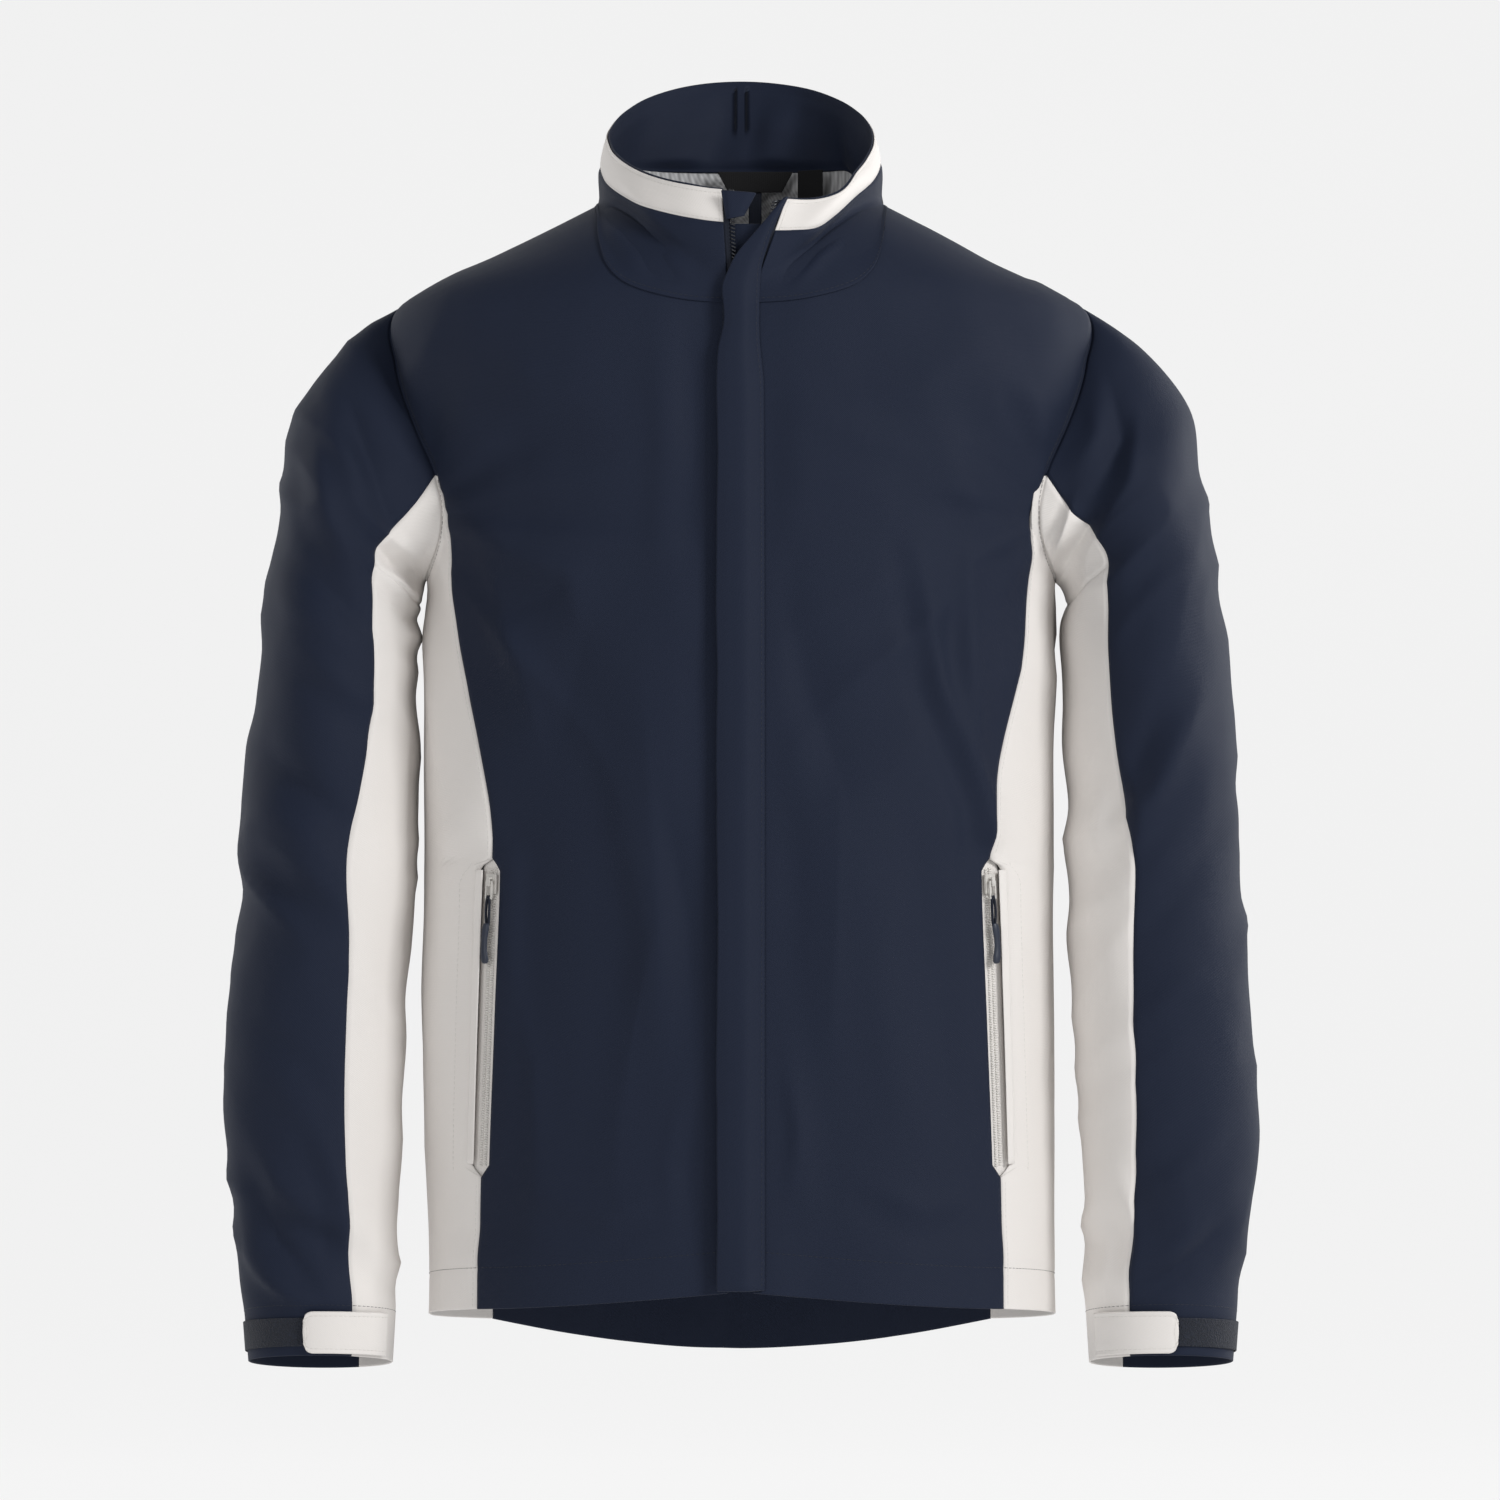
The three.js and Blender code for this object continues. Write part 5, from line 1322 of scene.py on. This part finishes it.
def stitch_spots(points, normals, pitch):
    """Places for the stitches along a line of points."""
    run = np.concatenate([[0], np.cumsum(np.linalg.norm(np.diff(points, axis=0), axis=1))])
    at = np.arange(pitch / 2, run[-1] - pitch / 3, pitch)

    def along(values, where):
        return np.stack([np.interp(where, run, values[:, k]) for k in range(3)], 1)

    ways = unit(along(points, at + 1.2) - along(points, at - 1.2))
    outs = unit(along(normals, at))
    sides = unit(np.cross(outs, ways))
    middles = along(points, at) + outs * 0.02
    step = np.diff(run)[np.clip(np.searchsorted(run, at) - 1, 0, len(run) - 2)]
    chosen = np.flatnonzero(step < WIDEST_STEP)
    return [(middles[i], ways[i], sides[i], np.cross(ways[i], sides[i])) for i in chosen]


def stitches(name, lines, thread, body="garment", pitch=STITCH_PITCH):
    spots = [spot for points, normals in lines for spot in stitch_spots(points, normals, pitch)]
    return copies(name, STITCH, spots, thread, body)


def between_drops(high, low):
    """Keeps the points of a line between two drops."""
    return lambda points: (-points[:, 2] > high) & (-points[:, 2] < low)


on_sleeve = between_drops(SHOULDER_DROP + 3, PANEL_DROP - 2)
by_pocket = between_drops(POCKET_TOP - 4, POCKET_BOTTOM + 4)
above_hem = between_drops(0, FRONT_HEM - 30)


def clear_of_pocket(points):
    return (-points[:, 2] < POCKET_TOP - 6) | (-points[:, 2] > POCKET_BOTTOM + 6)


for name, side in SIDES:
    ahead, beside, behind = panels[f"front_{name}"], panels[f"side_{name}"], panels["back"]
    stitches(f"armhole_stitches_{name}", [
        seam_line(*ahead, "right", 3.2, on_sleeve),
        seam_line(*behind, "right" if side > 0 else "left", 3.2, on_sleeve),
        seam_line(*beside, "top", 3.2),
    ], thread_navy)
    stitches(f"side_seam_stitches_{name}", [
        seam_line(*beside, "left", 3, clear_of_pocket),
        seam_line(*beside, "right", 3),
        seam_line(*beside, "left", 17, by_pocket),
    ], thread_stone)
    stitches(f"hem_stitches_{name}", [seam_line(*panel, "bottom", HEM_TURN) for panel in (ahead, beside)],
             thread_navy)
    stitches(f"zip_edge_stitches_{name}", [seam_line(*ahead, "left", 3.4, above_hem)], thread_navy)
    stitches(f"cuff_hem_stitches_{name}", [
        seam_line(*panels[f"{label}_sleeve_{name}"], "bottom", CUFF_STITCHES) for label in ("upper", "under")
    ], thread_navy, f"{name}_sleeve")
stitches("back_hem_stitches", [seam_line(*panels["back"], "bottom", HEM_TURN)], thread_navy)
stitches("collar_base_stitches", [seam_line(outer_grid, outer_normals, "top", BASE_STITCHES)],
         thread_navy)
stitches("collar_band_stitches", [
    seam_line(band_grid, band_normals, edge, at)
    for edge, at in (("top", 1.8), ("bottom", 2.2), ("left", 2.0), ("right", 2.0))
], thread_stone, pitch=2.9)


# ---------- front zip ----------
COLLAR_RUN = 72  # length of the collar's front edge


def edge_frames(side, step):
    """Origins and axes along a front edge, from the foot of the zip up to the top of the collar."""
    low, high = ZIP_END - BOX_LENGTH, SLIDER_START
    runs = np.linspace(low, high, round((low - high) / step) + 1)
    toward = np.array([-side, 0.0, 0.0])
    straight = [(in_frame(front, s, 0, 0) - toward * ZIP_HALF_SLOT, toward, FRONT_OUT, FRONT_DOWN)
                for s in runs]
    ups = np.linspace(0.03, 1, round(COLLAR_RUN / step) + 1)
    edge = collar_point(NECK_START, ups, side)
    toward = unit(edge - collar_point(NECK_START + 5, ups, side))
    down = unit(collar_point(NECK_START, ups - 0.1, side) - collar_point(NECK_START, ups + 0.1, side))
    out = np.cross(down, toward)
    out = unit(np.where(out[:, 1:2] > 0, -out, out))
    return straight + list(zip(edge, toward, out, down))


TAPE, TEETH_PITCH = 0.6, 2.6
for name, side in SIDES:
    frames = edge_frames(side, 6)
    across = np.array([-6, -3, -1, 1, 3, 4.5])
    grid = np.stack([o + across[:, None] * b - n * (ZIP_DEPTH - TAPE / 2) for o, b, n, s in frames])
    normals = np.stack([np.broadcast_to(n, grid.shape[1:]) for o, b, n, s in frames])
    sew_on(f"zip_tape_cloth_{name}", grid, normals, tape_navy, "zip_tape", f"zip_tape_{name}",
           (0.0105, 0.665), thick=TAPE, bulge=0.1)
    spots = [(o + b * (ZIP_HALF_SLOT - 1.75) - n * ZIP_DEPTH, b, s, n)
             for o, b, n, s in edge_frames(side, TEETH_PITCH)]
    if side > 0:
        spots = [(o + s * TEETH_PITCH / 2, b, s, n) for o, b, s, n in spots]
    made = copies(f"zip_chain_{name}", TOOTH, spots, teeth_navy)
    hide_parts(f"zip_teeth_{name}")


# ---------- storm flap, sewn beside the zip and to the collar's open end ----------
FLAP_TOP, FLAP_SEAM_IN = 33, 2.0
flap_free = curve([(FLAP_TOP, 25.6), (52.6, 10), (68, -3), (77, -7.5), (87, -11.4), (98, -10.6), (110, -10),
                   (128, -13.6), (170, -14), (FRONT_HEM, -14)])
flap_sewn = curve([(FLAP_TOP, 29), (52.6, 19.5), (68, 14.5), (77, 12.4), (98, 11.4), (120, 11.6), (150, 14),
                   (FRONT_HEM, 14.6)])
flap_section = curve([(0, 1.4), (0.17, 4.8), (0.4, 8.6), (0.76, 8.6), (1, 7.2)])
collar_edge = collar_point(NECK_START, np.linspace(0, 1, 30), 1)



def flap_weights(points):
    """0 where the flap is sewn to the collar, 1 further down the front."""
    return smooth((-points[..., 2] - 100) / 110)


def make_flap():
    """The flap: an outline, a raised section that is lower at the collar, and a wavy free edge."""
    drop = np.linspace(FLAP_TOP, FRONT_HEM - 2, 190)[:, None]
    t = spread(29, 1.6)[None, :]
    behind = np.where(drop > NECK_FRONT_DROP, -front_depth(drop), 0)
    level = np.interp(-drop[:, 0], collar_edge[:, 2], collar_edge[:, 1])[:, None]
    behind = np.where(drop > NECK_FRONT_DROP, behind, level)
    stand = lerp(0.22, 1.0, smooth((drop - 58) / 46))
    x = lerp(flap_sewn(drop), flap_free(drop), t)
    flat_points = np.stack(np.broadcast_arrays(x, behind, -drop), -1)
    wave = noise(flat_points, (400, 400, 46)) + 0.5 * noise(flat_points, (400, 400, 19))
    x = x + 0.7 * wave * t ** 2
    height = flap_section(t) * stand + 0.6 * noise(flat_points, (22, 400, 60)) * t * stand
    y = behind - height - 0.9 * wave * t ** 2 * stand
    grid = np.stack(np.broadcast_arrays(x, y, -drop), -1)
    normals = grid_normals(grid, np.broadcast_to([0.0, -1.0, 0.0], grid.shape))
    distances = edge_distances(grid)
    grid = grid + normals * stitched(distances, "left", FLAP_SEAM_IN, 0.3)[..., None]
    made = cloth("storm_flap_cloth", grid, normals, navy, thick=1.1, bulge=0.55)
    declare((0.045, 0.67), grid)
    weigh_sheet(made, flap_weights(grid))
    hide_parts("storm_flap", "storm_flap_collar_end")
    points, outs = seam_line(grid, normals, "left", FLAP_SEAM_IN)
    spots = stitch_spots(points, outs, STITCH_PITCH)
    threads = copies("flap_stitches", STITCH, spots, thread_navy, None)
    origins = np.array([spot[0] for spot in spots])
    weigh(threads, np.repeat(flap_weights(origins), len(STITCH[0])))


make_flap()


def between_corners(corners, rows, columns):
    """A grid between four corners: top start, top end, bottom start, bottom end."""
    a, b, c, d = (np.asarray(corner, float) for corner in corners)
    u, v = spread(columns * 2, 2)[None, :, None], spread(rows * 2, 2)[:, None, None]
    return lerp(lerp(a, b, u), lerp(c, d, u), v)


# The placket lies behind the zip and runs on up behind the collar's opening.
PLACKET_DEPTH, PLACKET_RISE, PLACKET_HEM_GAP = 6, 56, 12
run = spread(FRONT_RUN + 34, 7)[:, None] * (FRONT_RUN - PLACKET_HEM_GAP + PLACKET_RISE) - PLACKET_RISE
across = np.linspace(-PLACKET_HALF, PLACKET_HALF, 11)[None, :]
flat_part = in_frame(front, run, across, -PLACKET_DEPTH)
above = collar_point(NECK_START, np.clip(-run / COLLAR_RUN, 0, 1), 1)
risen = np.stack(np.broadcast_arrays(-across * 0.8, above[..., 1] + 6.5, above[..., 2] - 2), -1)
grid = lerp(flat_part, risen, smooth((4 - run) / 8)[..., None])
grid = grid + FRONT_OUT * (0.5 * noise(grid, (60, 60, 60)))[..., None]
sew_on("inner_placket_cloth", grid, flat_normals(grid, FRONT_OUT), navy, "navy_shell", "inner_placket",
       (0.034, 0.65), thick=1.1)

HANGING, TO_FRONT = np.array([0, 0, -1.0]), np.array([0, -1.0, 0])

# The chin guard folds over the top of the right half of the zip.
guard_edge = collar_point(NECK_START, 0.96, -1)
guard = local((-COLLAR_END_RIGHT, guard_edge[1] - 3.6, COLLAR_FRONT[1]), HANGING, TO_FRONT)
to_left = np.sign(guard["b"][0])
corners = ((1, 0.5), (2.5, 21), (18, 3.5), (16, 14))
grid = between_corners([in_frame(guard, s, b * to_left, 1) for s, b in corners], 10, 9)
bow = np.sin(np.pi * np.linspace(0, 1, grid.shape[1]))[None, :, None]
grid = grid + guard["n"] * 1.1 * bow
guard_normals = flat_normals(grid, guard["n"])
distances = edge_distances(grid)
lift = sum(stitched(distances, edge, 2.0, 0.25) for edge in ("right", "bottom"))
grid = grid + guard_normals * lift[..., None]
sew_on("chin_guard_cloth", grid, guard_normals, navy, "navy_shell", "chin_guard", (0.02, 0.017),
       thick=1.0, bulge=0.5)


def finished(node, finish_, edge):
    """Gives a CAD node a material and soft edges."""
    made = nodes[node]
    made.data.materials.clear()
    made.data.materials.append(finish_)
    rounding = made.modifiers.new("edges", "BEVEL")
    rounding.width, rounding.segments, rounding.limit_method = edge / 1000, 2, "ANGLE"


for part, edge in (("slider", 0.25), ("pull", 0.3), ("box", 0.5), ("pin", 0.3)):
    finished(f"front_zip_{part}", dark_metal, edge)
for name, side in SIDES:
    finished(f"pocket_zip_slider_{name}", light_metal, 0.25)
    finished(f"pocket_pull_loop_{name}", light_metal, 0.3)


# ---------- pockets ----------
def pocket_frame(side):
    """A frame on the pocket's opening: s runs down it and n out of the cloth."""
    drops = (POCKET_TOP, (POCKET_TOP + POCKET_BOTTOM) / 2, POCKET_BOTTOM)
    top, middle, bottom = (body_by_x(side * seam_half(drop), drop, False) for drop in drops)
    down = unit(bottom - top)
    out = body_normal(middle)
    return local(top, down, unit(out - down * np.dot(out, down)))


def tubes(lines, radius, u, v):
    """Vertices and faces of closed eight-sided tubes round lines, with a section spanned by u and v."""
    ring = np.radians(np.arange(0, 360, 45))
    section = radius * (np.cos(ring)[None, :, None] * u + np.sin(ring)[None, :, None] * v)
    points = np.concatenate([(line[:, None] + section).reshape(-1, 3) for line in lines])
    count, sides = len(lines[0]), len(ring)
    index = np.arange(count * sides).reshape(count, sides)
    after = np.roll(index, -1, 1)
    quads = np.stack([index[:-1], after[:-1], after[1:], index[1:]], -1).reshape(-1, 4)
    one = [list(q) for q in quads] + [list(index[0, ::-1]), list(index[-1])]
    return points, [[i + k * count * sides for i in face] for k in range(len(lines)) for face in one]


POCKET_SLIDER_AT, PIVOT, LINK, BAR = 6, 4.7, 11, 1
SLIDER_TOP = -POCKET_ZIP_DEPTH + 1.6 + 1.4
POCKET_TAPE_HALF, COIL_PITCH, COIL_APART = 8.5, 1.5, 1.6
CORD_START = POCKET_SLIDER_AT + PIVOT - BAR / 2 + LINK - 2.2
CORD_LENGTH, CORD_RADIUS, CORD_HEIGHT = 19.5, 0.85, SLIDER_TOP + 1.2 + BAR / 2
POCKET_BAG_DEPTH, POCKET_BAG_WIDTH = 7.8, 130
for name, side in SIDES:
    f = pocket_frame(side)
    to_side = side * np.sign(f["b"][0])

    down = np.linspace(-6, POCKET_LENGTH + 6, 60)[:, None]
    across = np.linspace(-POCKET_TAPE_HALF, POCKET_TAPE_HALF, 11)[None, :]
    grid = in_frame(f, down, across, -POCKET_ZIP_DEPTH + TAPE / 2)
    grid = grid + f["n"] * (0.12 * noise(grid, (9, 9, 30)))[..., None]
    sew_on(f"pocket_zip_tape_cloth_{name}", grid, flat_normals(grid, f["n"]), stone_tape, "stone_tape",
           f"pocket_zip_tape_{name}", (0.017, 0.2), thick=TAPE, bulge=0.1)
    turns = np.arange(3, POCKET_LENGTH - 2, COIL_PITCH)
    spots = [(in_frame(f, s + 0.35 * way, COIL_APART * way, -POCKET_ZIP_DEPTH + 0.25), f["b"], f["s"], f["n"])
             for s in turns for way in (-1, 1)]
    copies(f"pocket_coil_{name}", COIL, spots, teeth_stone)

    reach = np.linspace(0, 1, 24)
    apart = 0.15 + 1.15 * np.sin(np.pi * reach) ** 0.5
    height = CORD_HEIGHT + 1.2 * np.sin(np.pi * reach) * 0.4
    strands = [in_frame(f, lerp(CORD_START, CORD_START + CORD_LENGTH, reach), way * apart, height)
               for way in (-1, 1)]
    points, faces = tubes(strands, CORD_RADIUS, f["b"], f["n"])
    made = new_mesh(f"pull_cord_{name}", placed(points), faces, tape_navy)
    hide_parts(f"pocket_pull_cord_{name}")
    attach(made, f"{name}_pocket_pull")
    spot = in_frame(f, CORD_START + CORD_LENGTH - 2.5, 0, CORD_HEIGHT + 1.2)
    made = copies(f"pull_grip_{name}", GRIP, [(spot, f["s"], f["b"] * to_side, f["n"])], grip_navy,
                  f"{name}_pocket_pull")
    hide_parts(f"pocket_pull_grip_{name}")

    down = np.linspace(4, POCKET_LENGTH - 4, 60)[:, None]
    across = np.linspace(0.4, 6.4, 6)[None, :]
    at = in_frame(f, down, to_side * (POCKET_SLOT_HALF + across), 0)
    base = body_by_y(at[..., 1], -at[..., 2], side)
    grid = base + body_normal(base) * 1.4
    sew_on(f"pocket_welt_cloth_{name}", grid, body_normal(base), stone, "stone_shell", f"pocket_welt_{name}",
           thick=0.8, bulge=0.35)

    drop = np.linspace(POCKET_TOP - 10, POCKET_BOTTOM + 20, 30)[:, None]
    across = POCKET_BAG_WIDTH * np.linspace(0, 1, 20)[None, :]
    base = body_by_x(side * (seam_half(drop) - 2 - across), drop, False)
    outward = body_normal(base)
    grid = base - outward * (POCKET_BAG_DEPTH + 0.4 * noise(base, (30, 30, 30)))[..., None]
    sew_on(f"pocket_bag_cloth_{name}", grid, outward, mesh_grey, "pocket_lining", f"pocket_bag_{name}",
           (0.13, 0.22), "hung", thick=0.8)

    tacks = []
    for s, slant in ((-3, 4), (POCKET_LENGTH + 3, -4)):
        ends = in_frame(f, np.array([s, s + slant]), to_side * np.array([1.0, 14.0]), 0)
        line = lerp(ends[0], ends[1], np.linspace(0, 1, 12)[:, None])
        line = body_by_y(line[:, 1], -line[:, 2], side)
        tacks.append((line, body_normal(line)))
    stitches(f"pocket_tacks_{name}", tacks, thread_stone, pitch=0.9)


# ---------- cuff fastenings ----------
def cuff_patch(side, angles, low, height, stand, rounded=0.0):
    """Grid and normals on the cuff between two angles, from low above its edge up to low + height."""
    span = float(sleeve_point(LAST_STATION - 1, 0, 1)[2] - sleeve_point(LAST_STATION, 0, 1)[2])
    columns = np.linspace(*angles, round(abs(angles[1] - angles[0]) / 1.6) + 1)
    inset = np.zeros(len(columns))
    if rounded:
        away = np.minimum(np.abs(columns - angles[0]) * 0.78, rounded)
        inset = rounded - np.sqrt(rounded ** 2 - (rounded - away) ** 2)
    share = spread(height, 2.4)[:, None]
    up = low + inset + (height - 2 * inset) * (1 - share)
    at = LAST_STATION - up / span
    turned = np.broadcast_to(columns, at.shape)
    base, normals = sleeve_point(at, turned, side), sleeve_normal(at, turned, side)
    return base + normals * stand, normals


CUFF_EDGE_GAP, TAB_HEIGHT, STRIP_HEIGHT = 2, 27, 18
# Angles round the cuff. The tab's second one is its sewn end.
STRIP_SPAN, HOOK_SPAN, TAB_SPAN = (-70, 140), (86, 125), (82, 150)
TAB_STITCH_IN, TAB_STITCH_PITCH = 2.4, 3.1


def tab_weights(angles):
    """0 at the tab's sewn end, 1 towards its free end."""
    return smooth((TAB_SPAN[1] - angles) / 22)


for name, side in SIDES:
    strip_low = CUFF_EDGE_GAP + (TAB_HEIGHT - STRIP_HEIGHT) / 2
    grid, normals = cuff_patch(side, STRIP_SPAN, strip_low, STRIP_HEIGHT, 1.5)
    sew_on(f"cuff_loop_strip_cloth_{name}", grid, normals, pile_navy, "hook_and_loop",
           f"cuff_loop_strip_{name}", (0.165, 0.018), body=f"{name}_sleeve", thick=1.0, bulge=0.35)
    for label, angles, low, height, stand, thick, corner, cover, slot, flat in (
        ("cuff_hook_patch", HOOK_SPAN, strip_low + 1, STRIP_HEIGHT - 2, 2.6, 0.8, 0,
         pile_navy, "hook_and_loop", (0.03, 0.016)),
        ("cuff_tab", TAB_SPAN, CUFF_EDGE_GAP, TAB_HEIGHT, 4.2, 1.2, 5.5,
         stone, "stone_shell", (0.055, 0.027)),
    ):
        grid, normals = cuff_patch(side, angles, low, height, stand, corner)
        if corner:
            distances = edge_distances(grid)
            lift = sum(stitched(distances, edge, TAB_STITCH_IN, 0.3) for edge in ("left", "top", "bottom"))
            grid = grid + normals * lift[..., None]
        made = cloth(f"{label}_cloth_{name}", grid, normals, cover, thick=thick, bulge=0.5)
        declare(flat, grid)
        columns = np.linspace(*angles, grid.shape[1])
        weigh_sheet(made, np.broadcast_to(tab_weights(columns), grid.shape[:2]))
        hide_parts(f"{label}_{name}")
    lines = [seam_line(grid, normals, edge, TAB_STITCH_IN) for edge in ("left", "top", "bottom")]
    spots = [spot for points, outs in lines for spot in stitch_spots(points, outs, TAB_STITCH_PITCH)]
    threads = copies(f"cuff_tab_stitches_{name}", STITCH, spots, thread_stone, None)
    origins = np.array([spot[0] for spot in spots])
    nearest = np.argmin(np.linalg.norm(origins[:, None] - grid.reshape(1, -1, 3), axis=2), 1) % grid.shape[1]
    weigh(threads, np.repeat(tab_weights(columns[nearest]), len(STITCH[0])))


# ---------- neck trims ----------
SIZE_LABEL_ANGLE, LOOP_DROP = 145, 38
trim = local((9, 60.4, 0), HANGING, TO_FRONT)
grid = between_corners([in_frame(trim, s, b, 0) for s, b in ((1, -24), (1, 24), (14, -17), (14, 17))], 7, 22)
grid = grid + TO_FRONT * (0.3 * noise(grid, (12, 12, 12)))[..., None]
sew_on("neck_label_cloth", grid, flat_normals(grid, TO_FRONT), label_black, "label_black", "neck_label",
       (0.048, 0.013), thick=0.5, bulge=0.15)
spot = neck_point(SIZE_LABEL_ANGLE, 1) * (1, 1, 0)
inward = unit(-spot / (NECK_HALF ** 2, NECK_BACK_DEPTH ** 2, 1))
hung = local(spot + inward * (LINING_DEPTH + 2), HANGING, inward)
grid = between_corners([in_frame(hung, s, b, 0) for s, b in ((1, -9), (1, 9), (31, -9), (31, 9))], 15, 9)
grid = grid + inward * (0.5 * noise(grid, (14, 14, 14)))[..., None]
sew_on("size_label_cloth", grid, flat_normals(grid, inward), label_black, "label_black", "size_label",
       (0.018, 0.03), thick=0.5, bulge=0.15)

# The hanger loop: a tape down, round a bend and back up.
angle = np.radians(np.arange(0, 180, 15))
leg = np.linspace(1.5, LOOP_DROP, 20)
loop_s = np.concatenate([leg, LOOP_DROP + 1.9 * np.sin(angle[1:]), leg[::-1]])
loop_n = np.concatenate([np.full(20, -1.3), -3.1 + 1.8 * np.cos(angle[1:]), np.full(20, -4.9)])
grid = in_frame(trim, loop_s[:, None], np.linspace(-4, 4, 6)[None, :], loop_n[:, None])
normals = grid_normals(grid, grid - in_frame(trim, 20, 0, -3.1))
sew_on("hanger_loop_tape", grid, normals, tape_navy, "pull_cord", "hanger_loop", thick=0.6, bulge=0.1)

# ---------- camera, light and floor ----------
CAMERA_AT = Vector((-0.0033, -3.6635, -0.370))
FLOOR_Z = -1.1


def area_light(name, at, target, size, power, colour=(1, 1, 1)):
    light = bpy.data.lights.new(name, "AREA")
    light.shape, light.size, light.energy, light.color = "SQUARE", size, power, colour
    made = bpy.data.objects.new(name, light)
    made.location = at
    made.rotation_euler = (Vector(target) - Vector(at)).to_track_quat("-Z", "Y").to_euler()
    bpy.context.scene.collection.objects.link(made)


camera = bpy.data.objects.new("camera", bpy.data.cameras.new("camera"))
camera.data.sensor_width, camera.data.lens = 36, 137.6
camera.location = CAMERA_AT
camera.rotation_euler = (math.radians(90), 0, 0)
bpy.context.scene.collection.objects.link(camera)
bpy.context.scene.camera = camera

area_light("key", (2.9, -2.3, 1.3), (0, -0.1, -0.4), 1.3, 105)
area_light("fill", (-1.9, -3.2, 0.4), (0, -0.1, -0.4), 1.6, 26)
area_light("left_rim", (2.3, 1.0, 0.3), (0, 0, -0.4), 1.0, 30)
area_light("right_rim", (-2.3, 0.9, 0.5), (0, 0, -0.4), 1.0, 14)

world = bpy.data.worlds.new("studio")
bpy.context.scene.world = world
world.use_nodes = True
sky = world.node_tree.nodes["Background"].inputs
sky["Color"].default_value, sky["Strength"].default_value = (0.87, 0.87, 0.87, 1), 0.34
bpy.context.scene.view_settings.view_transform = "Standard"


def backdrop():
    """A pale floor that curves up into a wall, evenly lit."""
    floor_end, bend, steps = 2.2, 1.2, 12
    profile = [(-6.0, 0.0), (floor_end, 0.0)]
    for i in range(1, steps + 1):
        a = math.radians(90 * i / steps)
        profile.append((floor_end + bend * math.sin(a), bend * (1 - math.cos(a))))
    profile.append((floor_end + bend, 5.0))
    points = [(x, y, FLOOR_Z + z) for y, z in profile for x in (-6.0, 6.0)]
    faces = [(2 * i, 2 * i + 1, 2 * i + 3, 2 * i + 2) for i in range(len(profile) - 1)]
    made, _, shader = finish("backdrop", 0.9)
    shader.inputs["Base Color"].default_value = (0.1, 0.1, 0.1, 1)
    shader.inputs["Emission Color"].default_value = (0.785, 0.785, 0.785, 1)
    shader.inputs["Emission Strength"].default_value = 1.0
    new_mesh("backdrop", points, faces, made)


backdrop()
